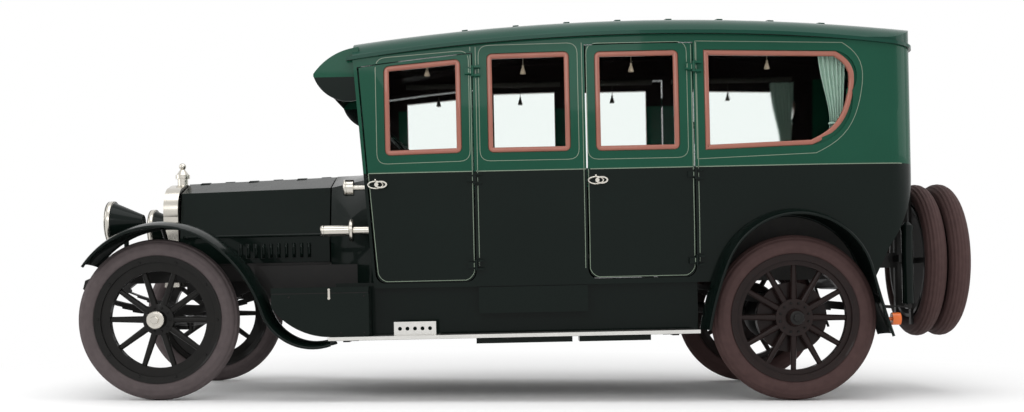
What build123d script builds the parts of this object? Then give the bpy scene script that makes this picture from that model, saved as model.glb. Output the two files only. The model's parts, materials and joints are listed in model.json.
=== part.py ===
from build123d import *
import os
from math import asin, degrees

os.makedirs("parts", exist_ok=True)

# A closed four-door car of about 1914, in millimetres: X forward, Y left, Z up from the ground.
# A station is the distance behind the front hubs. Everything on springs is drawn level and then
# set nose-down by RAKE about the front hubs.
FRONT_HUB_X = 2097.5
WHEELBASE = 3607.0
TRACK = 1422.0
RAKE = 1.2
MOVING_GAP = 6.0

# Tyres and wooden wheels.
FRONT_TYRE_RADIUS = 458.0
FRONT_TYRE_SECTION = 114.0
REAR_TYRE_RADIUS = 470.0
REAR_TYRE_SECTION = 127.0
FRONT_SPOKES = 10
REAR_SPOKES = 12
SPINDLE_RADIUS = 22.0
BEARING_CLEARANCE = 0.05

# Frame rails.
RAIL_FRONT_STATION = -420.0
RAIL_REAR_STATION = 4300.0
RAIL_OUTER_HALF = 400.0
RAIL_WIDTH = 50.0
RAIL_BOTTOM = 667.0
RAIL_TOP = 756.0
RAIL_SHEET = 8.0
CRANK_Z = 700.0
CRANK_RADIUS = 14.0
CHASSIS_HALF = RAIL_OUTER_HALF + 14

# Cabin form: plan, side view and cross-section.
SILL_Z = 608.0
BELT_Z = 1262.0
FLOOR_THICKNESS = 22.0
SILL_HALF_WIDTH = 712.0
BELT_HALF_WIDTH = 742.0
EAVE_HALF_WIDTH = 722.0
FRONT_HALF_WIDTH = 718.0
WALL = 34.0
CABIN_FRONT_SILL = 1226.0
CABIN_FRONT_BELT = 1178.0
CABIN_FRONT_EAVE = 1128.0
CABIN_REAR = 4366.0
REAR_TUCK_Z = 1330.0
REAR_CORNER = 180.0

# Roof: a barrel whose long curve is one large arc.
CROWN_Z = 2180.0
EAVE_Z = 2020.0
ROOF_MID_STATION = 2800.0
ROOF_LONG_RADIUS = 13000.0
ROOF_SHOULDER_HALF = 520.0
ROOF_SHOULDER_DROP = 39.0
BATTEN_FIRST = 1748.0
BATTEN_PITCH = 298.6
BATTEN_COUNT = 8
BATTEN_WIDTH = 34.0
BATTEN_RISE = 8.0
BATTEN_HALF = 500.0
DRIP_RISE = 20.0
DRIP_OUT = 14.0

# Doors: front lower station, front belt station, rear station, bottom height.
DOOR_LOW_CORNER = 60.0
FRONT_DOOR = (1239.0, 1195.0, 1810.0, 634.0)
REAR_DOOR = (2445.0, 2445.0, 3063.0, 637.0)
HEADER_DEPTH = 45.0
LEADING_EXTRA = 4.0
HINGE_STANDOFF = 8.0
HINGE_PIN_RADIUS = 4.0
HINGE_HEIGHT = 60.0
HINGE_LUG = 12.0
HINGE_STRAP = 45.0
HINGE_HEIGHTS = (700.0, 1190.0, 1800.0)
HANDLE_Z = 1196.0
HANDLE_SETBACK = 62.0
FRAME_BAND = 28.0
FRAME_RECESS = 10.0
GLASS = 6.0
GLASS_INSET = 17.0


# Windows: fore and aft stations, then fore and aft heights of the foot and of the head.
WINDOWS = {
    "front_door": (1304.0, 1742.0, 1359.0, 1367.0, 1869.0, 1905.0),
    "middle": (1890.0, 2360.0, 1365.0, 1365.0, 1930.0, 1935.0),
    "rear_door": (2502.0, 2980.0, 1362.0, 1362.0, 1930.0, 1930.0),
}
WINDOW_CORNER = 34.0
QUARTER_FORE = 3122.0
QUARTER_FOOT = (1355.0, 1372.0)
QUARTER_HEAD = (1927.0, 1905.0)
QUARTER_AFT = 3965.0
BACK_SEAM_TOP = 4262.0
BACK_SEAM_FOOT = 4130.0
BACK_WINDOW_HALF = 330.0
BACK_WINDOW_FOOT = 1440.0
BACK_WINDOW_HEAD = 1830.0
SCREEN_HALF = 590.0
SCREEN_FOOT = 1330.0
SCREEN_HEAD = 1870.0
POST_HALF = 640.0
VISOR_TIP = 900.0

# Radiator, engine cover and cowl. Half widths are at the lower shoulder.
RADIATOR_FRONT = -71.0
RADIATOR_REAR = 16.0
RADIATOR_HALF = 312.0
RADIATOR_RIM = 44.0
RADIATOR_FOOT = 640.0
RADIATOR_TOP = 1272.0
CORE_SET_BACK = 12.0
FIN_HALF_COUNT = 11
FIN_PITCH = 22.0
COVER_FRONT = 24.0
COVER_REAR = 932.0
COVER_FRONT_HALF = 300.0
COVER_REAR_HALF = 385.0
COVER_FOOT = 774.0
SHOULDER_Z = 932.0
COVER_FRONT_CREASE = (236.0, 1205.0)
COVER_REAR_CREASE = (290.0, 1219.0)
COVER_FRONT_TOP = 1282.0
COVER_REAR_TOP = 1308.0
COVER_SHEET = 8.0
COWL_FRONT = 940.0
COWL_FOOT = 640.0
COWL_TOP = 1319.0
COWL_SHEET = 20.0
DASH = 26.0
LOUVRE_FIRST = 380.0
LOUVRE_PITCH = 46.0
LOUVRE_COUNT = 10
LOUVRE_FOOT = 800.0
LOUVRE_RISE = 90.0
COVER_HINGE_DROP = 6.0
COVER_PIN = 3.0
COVER_BARREL = 7.0
COVER_BARREL_LENGTH = 60.0
COVER_BARREL_PITCH = 300.0
COVER_BARRELS = 3
COVER_FIRST_BARREL = 90.0

# Fenders, running boards, aprons and the toolbox.
FENDER_SHEET = 6.0
FENDER_OUTER_HALF = 868.0
FENDER_INNER_HALF = 580.0
FENDER_DROP = 30.0
ROLLED_EDGE = 8.0
APRON_HALF = 660.0
STEP_PLATE_TOP = 420.0
BOARD_FORE = 980.0
BOARD_AFT = 3052.0
BOARD_TOP = 343.0
BOARD_THICKNESS = 16.0
BOARD_EDGE = 8.0
BOARD_MAT = 3.0
BOARD_MAT_TOP = BOARD_TOP - BOARD_MAT
BOARD_PLANK_TOP = BOARD_MAT_TOP - BOARD_MAT
STEP_FORE = 1345.0
STEP_AFT = 1580.0
STEP_INSET = 34.0
STEP_HOLES = 5
STEP_FIRST_HOLE = 33.0
STEP_HOLE_PITCH = 42.0
STEP_HOLE_RADIUS = 11.0
APRON_FORE = 1000.0
APRON_LIP = 30.0
APRON_TAIL = 20.0
APRON_BOX_FORE = 1820.0
APRON_BOX_AFT = 2440.0
APRON_BOX_OUTER = 720.0
APRON_BOX_FOOT = 455.0
APRON_BOX_GAP = 4.0
PANS = ((1800.0, 2350.0), (2390.0, 2800.0))
PAN_INNER_HALF = 520.0
PAN_DEPTH = 32.0
BOARD_OUTER_HALF = 880.0
TOOLBOX_FORE = 660.0
TOOLBOX_AFT = 1206.0
TOOLBOX_TOP = 622.0
TOOLBOX_LID = 30.0
LID_HINGES = (800.0, 1080.0)
LID_HINGE_HALF = 676.0
LID_HINGE_Z = 614.0
TOOLBOX_INNER_HALF = 684.0
TOOLBOX_OUTER_HALF = 845.0

# Axles and steering.
KINGPIN_HALF = 600.0
KINGPIN_RADIUS = 14.0
BOSS_RADIUS = 30.0
BOSS_HALF_HEIGHT = 38.0
LUG_HEIGHT = 22.0
LUG_GAP = 1.0
ARM_LENGTH = 150.0
TRACK_ROD_RADIUS = 13.0
AXLE_TUBE_RADIUS = 45.0
SPRING_WIDTH = 50.0
LEAF = 9.0
FRONT_LEAVES = 5
REAR_LEAVES = 7
REAR_SPRING_HALF = 510.0
AIR_SPRING_STATION = 4325.0
AIR_SPRING_RADIUS = 33.0
AIR_SPRING_EYE_Z = 440.0
SPRING_EYE = 16.0
LEAF_STEP = 0.13
FRONT_SPRING_LOW = 520.0
REAR_SPRING_LOW = 512.0
REAR_PAD = 60.0
TORQUE_TUBE_FORE = 2440.0
BOARD_IRONS = (1060.0, 1960.0, 2900.0)
CROSS_MEMBERS = (-380.0, 800.0, 2380.0, 3180.0, 4200.0)
SPARE_FRONT_STATION = 4526.0
SPARE_PITCH = 141.0
SPARE_Z = 712.0
RIM_SHARE = 0.93
SPOKE_THICK = 21.0
SPOKE_THIN = 15.0
COLUMN_Y = 330.0
COLUMN_FOOT = (760.0, 740.0)
COLUMN_HEAD = (1400.0, 1400.0)
EXHAUST_Y = 250.0
EXHAUST_Z = 560.0
HORN_HALF = 676.0
HORN_Z = 943.0

# Lamps and horn.
HEADLAMP_HALF = 450.0
HEADLAMP_RADIUS = 130.0
HEADLAMP_FRONT = -345.0
HEADLAMP_REAR = -150.0
HEADLAMP_Z = 1022.0
LAMP_BAR_Z = 870.0


def at(station):
    """X of a station behind the front hubs."""
    return FRONT_HUB_X - station


def block(fore, aft, right, left, bottom, top):
    """Box between two stations, two Y values and two heights."""
    middle = Pos((at(fore) + at(aft)) / 2, (right + left) / 2, (bottom + top) / 2)
    return middle * Box(aft - fore, left - right, top - bottom)


def side_solid(outline, right, left):
    """Side-view outline, in X and Z, carried from one Y to another."""
    face = Plane.XZ * make_face(outline)
    return Pos(0, right, 0) * extrude(face, amount=left - right, dir=(0, 1, 0))


def side_polygon(points, right, left):
    """Straight-sided side view whose points are stations and heights."""
    corners = [(at(station), height) for station, height in points]
    return side_solid(Polyline(*corners, close=True), right, left)


def rod(start, end, radius):
    """Round bar between two points."""
    first, last = Vector(*start), Vector(*end)
    along = last - first
    return Plane(origin=first, z_dir=along) * extrude(Circle(radius), amount=along.length)


def drum(station, height, radius, right, left):
    """Cylinder that lies across the car."""
    return rod((at(station), right, height), (at(station), left, height), radius)


def mirrored(shape):
    """The same shape on the other side of the car."""
    return mirror(shape, about=Plane.XZ)


HUB_LINE = Axis((FRONT_HUB_X, 0, FRONT_TYRE_RADIUS), (0, 1, 0))


def sprung(shape):
    """Sets a level shape nose-down with the rest of the sprung mass."""
    return shape.rotate(HUB_LINE, RAKE)


def barrel(section):
    """Cross-section carried along the roof's long arc."""
    centre = (at(ROOF_MID_STATION), 0, CROWN_Z - ROOF_LONG_RADIUS)
    axis = Axis(centre, (0, 1, 0))
    reach = degrees(asin((CABIN_REAR - CABIN_FRONT_EAVE) / ROOF_LONG_RADIUS))
    face = Plane(origin=(at(ROOF_MID_STATION), 0, 0), x_dir=(0, 1, 0), z_dir=(1, 0, 0)) * section
    return revolve(face.rotate(axis, -reach), axis=axis, revolution_arc=2 * reach)


def plan_solid(inset):
    """Plan view of the cabin, wider than tall parts need, from the sill up past the roof."""
    front, rear = at(CABIN_FRONT_EAVE - WALL), at(CABIN_REAR - inset)
    half, nose = BELT_HALF_WIDTH - inset, FRONT_HALF_WIDTH - inset
    widest_fore, widest_aft = at(1850), at(3500)
    tail_x, tail_half = at(CABIN_REAR - REAR_CORNER), BELT_HALF_WIDTH - 42 - inset
    corner_half, corner_x = tail_half - REAR_CORNER, rear + 20
    left = (
        TangentArc((widest_fore, half), (front, nose), tangent=(1, 0))
        + Line((widest_fore, half), (widest_aft, half))
        + TangentArc((widest_aft, half), (tail_x, tail_half), tangent=(-1, 0))
        + TangentArc((tail_x, tail_half), (corner_x, corner_half), tangent=(-1, -0.16))
    )
    back = ThreePointArc((corner_x, corner_half), (rear, 0), (corner_x, -corner_half))
    nose_edge = Line((front, nose), (front, -nose))
    outline = left + mirror(left, about=Plane.XZ) + back + nose_edge
    return Pos(0, 0, SILL_Z - WALL) * extrude(make_face(outline), amount=CROWN_Z)


def profile_solid(inset):
    """Side view of the cabin: leaning front, upright back and the tuck under the tail."""
    top = CROWN_Z + 100
    front = [
        (at(CABIN_FRONT_EAVE + inset) + 20, top),
        (at(CABIN_FRONT_EAVE + inset), EAVE_Z - 90),
        (at(CABIN_FRONT_BELT + inset), BELT_Z),
        (at(CABIN_FRONT_SILL + inset), SILL_Z),
    ]
    rear = CABIN_REAR - inset
    low_back = [(at(rear - 290), SILL_Z), (at(rear - 195), 796)]
    tuck = ThreePointArc(low_back[1], (at(rear - 66), 1040), (at(rear - 18), REAR_TUCK_Z))
    shoulder = ThreePointArc((at(rear), 1960 - inset), (at(rear - 35), 2062 - inset), (at(rear - 130), 2112 - inset))
    edges = (
        Polyline(*front, low_back[0], low_back[1])
        + tuck
        + Line((at(rear - 18), REAR_TUCK_Z), (at(rear), 1960 - inset))
        + shoulder
        + Polyline((at(rear - 130), 2112 - inset), (at(rear - 130), top), front[0])
    )
    return side_solid(edges, -BELT_HALF_WIDTH - WALL, BELT_HALF_WIDTH + WALL)


def section_solid(inset):
    """Front view of the cabin: sides that curve in below the belt and lean in above it."""
    belt, eave, sill = BELT_HALF_WIDTH + 0.5 - inset, EAVE_HALF_WIDTH - inset, SILL_HALF_WIDTH - inset
    left = ThreePointArc((sill, SILL_Z), (belt - 7, 930), (belt, BELT_Z)) + Polyline(
        (belt, BELT_Z), (eave, EAVE_Z), (eave, CROWN_Z + 100)
    )
    right = mirror(left, about=Plane.YZ)
    ends = Line((-sill, SILL_Z), (sill, SILL_Z)) + Line((-eave, CROWN_Z + 100), (eave, CROWN_Z + 100))
    face = Plane.YZ * make_face(left + right + ends)
    return Pos(at(CABIN_REAR + WALL), 0, 0) * extrude(face, amount=CABIN_REAR, dir=(1, 0, 0))


def crown_solid(inset):
    """Everything under the roof's outer skin."""
    crown, eave, half = CROWN_Z - inset, EAVE_Z - inset, EAVE_HALF_WIDTH + DRIP_OUT
    shoulder, shoulder_z = ROOF_SHOULDER_HALF, crown - ROOF_SHOULDER_DROP
    top = ThreePointArc((-shoulder, shoulder_z), (0, crown), (shoulder, shoulder_z))
    edge = TangentArc((shoulder, shoulder_z), (half - inset, eave), tangent=top % 1)
    skirt = Polyline((half - inset, eave), (half - inset, SILL_Z - 150), (0, SILL_Z - 150))
    half_edge = edge + skirt
    return barrel(make_face(top + half_edge + mirror(half_edge, about=Plane.YZ)))


def cabin(inset):
    """Solid form of the whole cabin, drawn in from its outer skin by the inset."""
    return plan_solid(inset) & profile_solid(inset) & section_solid(inset) & crown_solid(inset)


def under_eave(drop):
    """Everything below the eave line, lowered by the drop."""
    half = BELT_HALF_WIDTH + 4 * WALL
    corners = [(-half, SILL_Z - 150), (half, SILL_Z - 150), (half, EAVE_Z - drop), (-half, EAVE_Z - drop)]
    return barrel(make_face(Polyline(*corners, close=True)))


def window_face(name):
    """Side-view face of one window's outer frame line."""
    fore, aft, foot_fore, foot_aft, head_fore, head_aft = WINDOWS[name]
    corners = [(at(fore), foot_fore), (at(aft), foot_aft), (at(aft), head_aft), (at(fore), head_fore)]
    return make_face(FilletPolyline(*corners, radius=WINDOW_CORNER, close=True))


def quarter_face():
    """The long rear window, whose tail is round like a letter D."""
    fore, aft = at(QUARTER_FORE), at(QUARTER_AFT)
    foot_fore, foot_aft = QUARTER_FOOT
    head_fore, head_aft = QUARTER_HEAD
    tail_z = (foot_aft + head_aft) / 2 + 40
    edges = (
        Line((fore, foot_fore), (fore, head_fore))
        + Line((fore, head_fore), (aft + 90, head_aft))
        + ThreePointArc((aft + 90, head_aft), (aft + 22, head_aft - 32), (aft, tail_z))
        + ThreePointArc((aft, tail_z), (aft + 70, foot_aft + 82), (aft + 235, foot_aft))
        + Line((aft + 235, foot_aft), (fore, foot_fore))
    )
    return make_face(edges)


def across(face, right, left):
    """Side-view face carried from one Y to another."""
    return Pos(0, right, 0) * extrude(Plane.XZ * face, amount=left - right, dir=(0, 1, 0))


def window_cut(face, side):
    """Shallow seat for the painted frame and the clear opening inside it, on one side."""
    clear = offset(face, amount=-FRAME_BAND)
    near, far = sorted((side * (BELT_HALF_WIDTH / 2), side * (BELT_HALF_WIDTH + WALL)))
    seat = across(face, near, far) - cabin(FRAME_RECESS)
    return seat + across(clear, near, far)


def pane(face, side):
    """Glass that fills the clear opening of a window and follows the wall."""
    near, far = sorted((side * (BELT_HALF_WIDTH / 2), side * (BELT_HALF_WIDTH + WALL)))
    return GLASS_SKIN & across(offset(face, amount=-FRAME_BAND), near, far)


def door_outline(door, gap):
    """Side-view face of a door opening, drawn in by the gap."""
    low, belt, rear, foot = door
    lean = (low - belt) / (BELT_Z - foot)
    head = EAVE_Z + 40
    points = [
        (at(low), foot),
        (at(belt), BELT_Z),
        (at(belt - lean * (head - BELT_Z)), head),
        (at(rear), head),
        (at(rear), foot),
    ]
    face = make_face(Polyline(*points, close=True))
    lower = [corner for corner in face.vertices() if corner.Y < foot + 1]
    face = fillet(lower, DOOR_LOW_CORNER)
    if not gap:
        return face
    drawn_in = offset(face, amount=-gap)
    return drawn_in & (Pos(-LEADING_EXTRA, 0) * drawn_in)


def hinge_y():
    """Half width of the door hinge line, just outside the widest skin."""
    return BELT_HALF_WIDTH + HINGE_STANDOFF


def hinge(spec, side, height):
    """Door half and body half of one outside hinge."""
    rear, axis_y = spec[2], side * hinge_y()
    deep = side * (EAVE_HALF_WIDTH - HINGE_LUG)
    right, left = sorted((deep, axis_y))
    middle, top = height + HINGE_LUG + 1, height + HINGE_HEIGHT - HINGE_LUG - 1
    line = [(at(rear), axis_y, z) for z in (height, height + HINGE_LUG, middle, top, top + 1)]
    end = (at(rear), axis_y, height + HINGE_HEIGHT)
    pin = rod(line[0], end, HINGE_PIN_RADIUS)
    door_half = rod(line[2], line[3], HINGE_STANDOFF) + block(rear - HINGE_STRAP, rear, right, left, middle, top)
    door_half = door_half - rod(line[2], line[3], HINGE_PIN_RADIUS + BEARING_CLEARANCE)
    body_half = pin + rod(line[0], line[1], HINGE_STANDOFF) + rod(line[4], end, HINGE_STANDOFF)
    for foot in (height, top + 1):
        body_half = body_half + block(rear, rear + HINGE_STRAP, right, left, foot, foot + HINGE_LUG)
    return door_half, body_half


def handle(station, side):
    """Oval ring handle on its boss."""
    face = side * (BELT_HALF_WIDTH - 12)
    root = side * (BELT_HALF_WIDTH - WALL + 4)
    stem = rod((at(station), root, HANDLE_Z), (at(station), face + side * 32, HANDLE_Z), 9)
    ring = Ellipse(36, 21) - Ellipse(27, 13)
    right, left = sorted((face + side * 24, face + side * 33))
    placed = Pos(0, right, 0) * extrude(Plane.XZ * (Pos(at(station) - 22, HANDLE_Z) * ring), amount=left - right, dir=(0, 1, 0))
    return stem + placed


def door(shell, spec, window, side):
    """One door leaf cut from the cabin wall, with its handle and hinge halves."""
    right, left = sorted((side * (SILL_HALF_WIDTH - WALL - 2), side * (BELT_HALF_WIDTH + WALL)))
    leaf = shell & across(door_outline(spec, MOVING_GAP), right, left)
    leaf = (leaf & under_eave(HEADER_DEPTH + MOVING_GAP)) - window_cut(window_face(window), side)
    for height in HINGE_HEIGHTS:
        leaf = leaf + hinge(spec, side, height)[0]
    return leaf + handle(spec[1] + HANDLE_SETBACK, side)


def body_side(shell, side):
    """Cabin side between its two doors and behind them, with window cuts and hinge lugs."""
    right, left = sorted((side * POST_HALF, side * (BELT_HALF_WIDTH + WALL)))
    wall = shell & block(CABIN_FRONT_EAVE - WALL, CABIN_REAR + WALL, right, left, SILL_Z - WALL, CROWN_Z)
    for spec in (FRONT_DOOR, REAR_DOOR):
        opening = across(door_outline(spec, 0), min(0, side) * CROWN_Z, max(0, side) * CROWN_Z)
        wall = wall - (opening & under_eave(HEADER_DEPTH))
    wall = wall - window_cut(window_face("middle"), side) - window_cut(quarter_face(), side)
    wall = wall - back_form() - wheel_house()
    for spec in (FRONT_DOOR, REAR_DOOR):
        for height in HINGE_HEIGHTS:
            wall = wall + hinge(spec, side, height)[1]
    return wall


def back_form():
    """Space of the back panel, whose seam sweeps forward as it comes down."""
    half, high, rear = BELT_HALF_WIDTH + WALL, EAVE_Z + 60, CABIN_REAR + WALL
    edges = (
        Polyline((at(rear), high), (at(BACK_SEAM_TOP), high), (at(BACK_SEAM_TOP), 1880))
        + ThreePointArc((at(BACK_SEAM_TOP), 1880), (at(BACK_SEAM_TOP - 30), 1570), (at(BACK_SEAM_FOOT), BELT_Z))
        + Polyline((at(BACK_SEAM_FOOT), BELT_Z), (at(BACK_SEAM_FOOT), SILL_Z - WALL), (at(rear), SILL_Z - WALL))
        + Line((at(rear), SILL_Z - WALL), (at(rear), high))
    )
    return side_solid(edges, -half, half)


def body_back(shell):
    """Curved back panel with its window."""
    window = block(CABIN_REAR - 4 * WALL, CABIN_REAR + WALL, -BACK_WINDOW_HALF, BACK_WINDOW_HALF,
                   BACK_WINDOW_FOOT, BACK_WINDOW_HEAD)
    rails = block(CABIN_REAR - CABIN_FRONT_EAVE, CABIN_REAR, -CHASSIS_HALF, CHASSIS_HALF, SILL_Z - WALL, RAIL_TOP)
    return (shell & back_form()) - window - rails


def roof_panel(skin, hollow):
    """Roof from the eaves up, with its drip moulding and low battens."""
    panel = (skin - hollow) - under_eave(0)
    drip = plan_solid(-DRIP_OUT) & under_eave(-DRIP_RISE)
    drip = drip - under_eave(0) - plan_solid(WALL / 2)
    panel = panel + drip
    for number in range(BATTEN_COUNT):
        fore = BATTEN_FIRST + number * BATTEN_PITCH
        strip = block(fore, fore + BATTEN_WIDTH, -BATTEN_HALF, BATTEN_HALF, EAVE_Z, CROWN_Z + WALL)
        panel = panel + ((crown_solid(-BATTEN_RISE) - crown_solid(WALL / 2)) & strip)
    return panel


def screen_frame(shell):
    """Windshield frame across the front, between the posts."""
    front = block(CABIN_FRONT_EAVE - WALL, CABIN_FRONT_BELT + WALL, -POST_HALF, POST_HALF, BELT_Z, EAVE_Z + WALL)
    opening = block(CABIN_FRONT_EAVE - WALL, CABIN_FRONT_BELT + 2 * WALL, -SCREEN_HALF, SCREEN_HALF,
                    SCREEN_FOOT, SCREEN_HEAD)
    return (shell & front) - opening


def fixed_glass():
    """Windshield, middle, quarter and back panes, none touching another."""
    panes = []
    for side in (1, -1):
        panes.append(pane(window_face("middle"), side))
        panes.append(pane(quarter_face(), side))
    front = block(CABIN_FRONT_EAVE - WALL, CABIN_FRONT_BELT + WALL, -SCREEN_HALF, SCREEN_HALF,
                  SCREEN_FOOT, SCREEN_HEAD)
    back = block(CABIN_REAR - 4 * WALL, CABIN_REAR, -BACK_WINDOW_HALF, BACK_WINDOW_HALF,
                 BACK_WINDOW_FOOT, BACK_WINDOW_HEAD)
    return panes + [GLASS_SKIN & front, GLASS_SKIN & back]


def visor():
    """Peaked sun visor over the windshield, a thin shell open below."""
    front, tip = CABIN_FRONT_EAVE + WALL, VISOR_TIP
    top = ThreePointArc((at(front), 1989), (at(front - 110), 1962), (at(tip), 1840))
    under = ThreePointArc((at(tip), 1826), (at(front - 104), 1946), (at(front), 1974))
    edges = top + Line((at(tip), 1840), (at(tip), 1826)) + under + Line((at(front), 1974), (at(front), 1989))
    half = FRONT_HALF_WIDTH - 30
    sheet = side_solid(edges, -half, half)
    cheek_edge = ThreePointArc((at(tip), 1830), (at(tip + 60), 1735), (at(front), 1690))
    cheek = top + Line((at(front), 1989), (at(front), 1690)) + cheek_edge + Line((at(tip), 1840), (at(tip), 1830))
    for side in (1, -1):
        right, left = sorted((side * half, side * (half - FENDER_SHEET)))
        sheet = sheet + side_solid(cheek, right, left)
    return sheet


def cover_section(half, crease, top, foot, inset):
    """Half of a front view through the engine cover, from the foot up to the centre line."""
    side, shoulder = half - inset, (half - inset, SHOULDER_Z)
    crease_y, crease_z = crease
    return Polyline(
        (0, foot), (side, foot), shoulder, (crease_y - inset / 2, crease_z - inset), (0, top - inset), close=True
    )


def section_face(station, outline):
    """Front-view outline set upright at a station."""
    return Pos(at(station), 0, 0) * (Plane.YZ * make_face(outline))


def cover_form(inset):
    """Left half of the engine cover as a solid."""
    front = cover_section(COVER_FRONT_HALF, COVER_FRONT_CREASE, COVER_FRONT_TOP, COVER_FOOT, inset)
    rear = cover_section(COVER_REAR_HALF, COVER_REAR_CREASE, COVER_REAR_TOP, COVER_FOOT, inset)
    return loft([section_face(COVER_FRONT, front), section_face(COVER_REAR, rear)], ruled=True)


def cover_line(fore, aft, radius):
    """Round bar along the centre hinge of the engine cover."""
    slope = (COVER_REAR_TOP - COVER_FRONT_TOP) / (COWL_FRONT - RADIATOR_REAR)
    heights = [COVER_FRONT_TOP - COVER_HINGE_DROP + slope * (station - RADIATOR_REAR) for station in (fore, aft)]
    return rod((at(fore), 0, heights[0]), (at(aft), 0, heights[1]), radius)


def engine_cover(first_barrel):
    """Left leaf of the engine cover, open inside and below, with hinge barrels and raised louvres."""
    leaf = cover_form(0) - cover_form(COVER_SHEET)
    leaf = leaf - cover_line(COVER_FRONT - 9, COVER_REAR + 9, COVER_BARREL + MOVING_GAP)
    leaf = leaf - block(COVER_FRONT - 9, COVER_REAR + 9, -9, COVER_FRONT_HALF - 60, COVER_FOOT - 9, SHOULDER_Z)
    for number in range(COVER_BARRELS):
        fore = first_barrel + number * COVER_BARREL_PITCH
        barrel_part = cover_line(fore, fore + COVER_BARREL_LENGTH, COVER_BARREL)
        middle = barrel_part.center().Z
        strap = block(fore, fore + COVER_BARREL_LENGTH, 2, 34, middle - 7, middle - 1)
        leaf = leaf + barrel_part + strap
    leaf = leaf - cover_line(COVER_FRONT - 9, COVER_REAR + 9, COVER_PIN + BEARING_CLEARANCE)
    for number in range(LOUVRE_COUNT):
        fore = LOUVRE_FIRST + number * LOUVRE_PITCH
        share = (fore - COVER_FRONT) / (COVER_REAR - COVER_FRONT)
        face_y = COVER_FRONT_HALF + share * (COVER_REAR_HALF - COVER_FRONT_HALF)
        blade = [(at(fore), face_y - 4), (at(fore), face_y + 12), (at(fore + 30), face_y)]
        leaf = leaf + Pos(0, 0, LOUVRE_FOOT) * extrude(make_face(Polyline(*blade, close=True)), amount=LOUVRE_RISE)
    return leaf


def cowl_form(inset):
    """Solid between the engine cover's rear and the cabin front."""
    half, (crease_y, crease_z), top = COVER_REAR_HALF - inset, COVER_REAR_CREASE, COVER_REAR_TOP - inset
    front_side = Polyline((half, COWL_FOOT), (half, SHOULDER_Z), (crease_y - inset / 2, crease_z - inset), (0, top))
    front = front_side + mirror(front_side, about=Plane.YZ) + Line((half, COWL_FOOT), (-half, COWL_FOOT))
    wide, high = FRONT_HALF_WIDTH - 8 - inset, COWL_TOP - inset
    rear_side = (
        Line((wide, COWL_FOOT), (wide, 1130))
        + ThreePointArc((wide, 1130), (wide - 30, 1215 - inset / 2), (wide - 118, BELT_Z - 8 - inset))
        + ThreePointArc((wide - 118, BELT_Z - 8 - inset), (wide / 2, high - 15), (0, high))
    )
    rear = rear_side + mirror(rear_side, about=Plane.YZ) + Line((wide, COWL_FOOT), (-wide, COWL_FOOT))
    return loft([section_face(COWL_FRONT, front), section_face(CABIN_FRONT_SILL + WALL, rear)], ruled=True)


def cowl(skin):
    """Cowl shell with the wooden dash across its front."""
    dash = cowl_form(COWL_SHEET / 2) & block(COWL_FRONT, COWL_FRONT + DASH, -FRONT_HALF_WIDTH, FRONT_HALF_WIDTH,
                                             COWL_FOOT, CROWN_Z)
    rails = block(COWL_FRONT - WALL, CABIN_REAR, -CHASSIS_HALF, CHASSIS_HALF, SILL_Z - WALL, RAIL_TOP)
    return (cowl_form(0) - cowl_form(COWL_SHEET) + dash) - skin - rails


def radiator_outline(inset):
    """Front view of the radiator, a little larger than the engine cover."""
    half, foot, top = RADIATOR_HALF - inset, RADIATOR_FOOT + inset, RADIATOR_TOP - inset
    side = (
        Line((0, foot), (half, foot))
        + Line((half, foot), (half, SHOULDER_Z + 130 - inset))
        + ThreePointArc((half, SHOULDER_Z + 130 - inset), (half - 38, top - 75), (half - 140, top - 24))
        + ThreePointArc((half - 140, top - 24), (half / 4, top - 3), (0, top))
    )
    return side + mirror(side, about=Plane.YZ)


def radiator_shell():
    """Plated surround with its filler neck and plain cap."""
    depth = RADIATOR_REAR - RADIATOR_FRONT
    ring = make_face(radiator_outline(0)) - make_face(radiator_outline(RADIATOR_RIM))
    shell = Pos(at(RADIATOR_REAR), 0, 0) * extrude(Plane.YZ * ring, amount=depth, dir=(1, 0, 0))
    neck_x = at((RADIATOR_FRONT + RADIATOR_REAR) / 2)
    neck = rod((neck_x, 0, RADIATOR_TOP - RADIATOR_RIM / 2), (neck_x, 0, RADIATOR_TOP + 42), 32)
    rim = rod((neck_x, 0, RADIATOR_TOP + 42), (neck_x, 0, RADIATOR_TOP + 66), 44)
    dome = Pos(neck_x, 0, RADIATOR_TOP + 66) * Cone(40, 12, 38, align=(Align.CENTER, Align.CENTER, Align.MIN))
    knob = Pos(neck_x, 0, RADIATOR_TOP + 118) * Sphere(22)
    web = RAIL_OUTER_HALF - RAIL_SHEET
    for right, left in ((-web, 20 - RADIATOR_HALF), (RADIATOR_HALF - 20, web)):
        shell = shell + block(-45, -10, right, left, RAIL_BOTTOM + 30, RAIL_TOP - 20)
    return shell + neck + rim + dome + knob


def radiator_core():
    """Finned core set back inside the surround."""
    outline = Plane.YZ * make_face(radiator_outline(RADIATOR_RIM))
    depth = RADIATOR_REAR - RADIATOR_FRONT - 2 * CORE_SET_BACK
    core = Pos(at(RADIATOR_REAR - CORE_SET_BACK), 0, 0) * extrude(outline, amount=depth, dir=(1, 0, 0))
    for number in range(-FIN_HALF_COUNT, FIN_HALF_COUNT + 1):
        y = number * FIN_PITCH
        fin = block(RADIATOR_FRONT + CORE_SET_BACK - 5, RADIATOR_FRONT + CORE_SET_BACK, y - 3, y + 3,
                    RADIATOR_FOOT + RADIATOR_RIM, SHOULDER_Z + 130)
        core = core + fin
    return core


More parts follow.
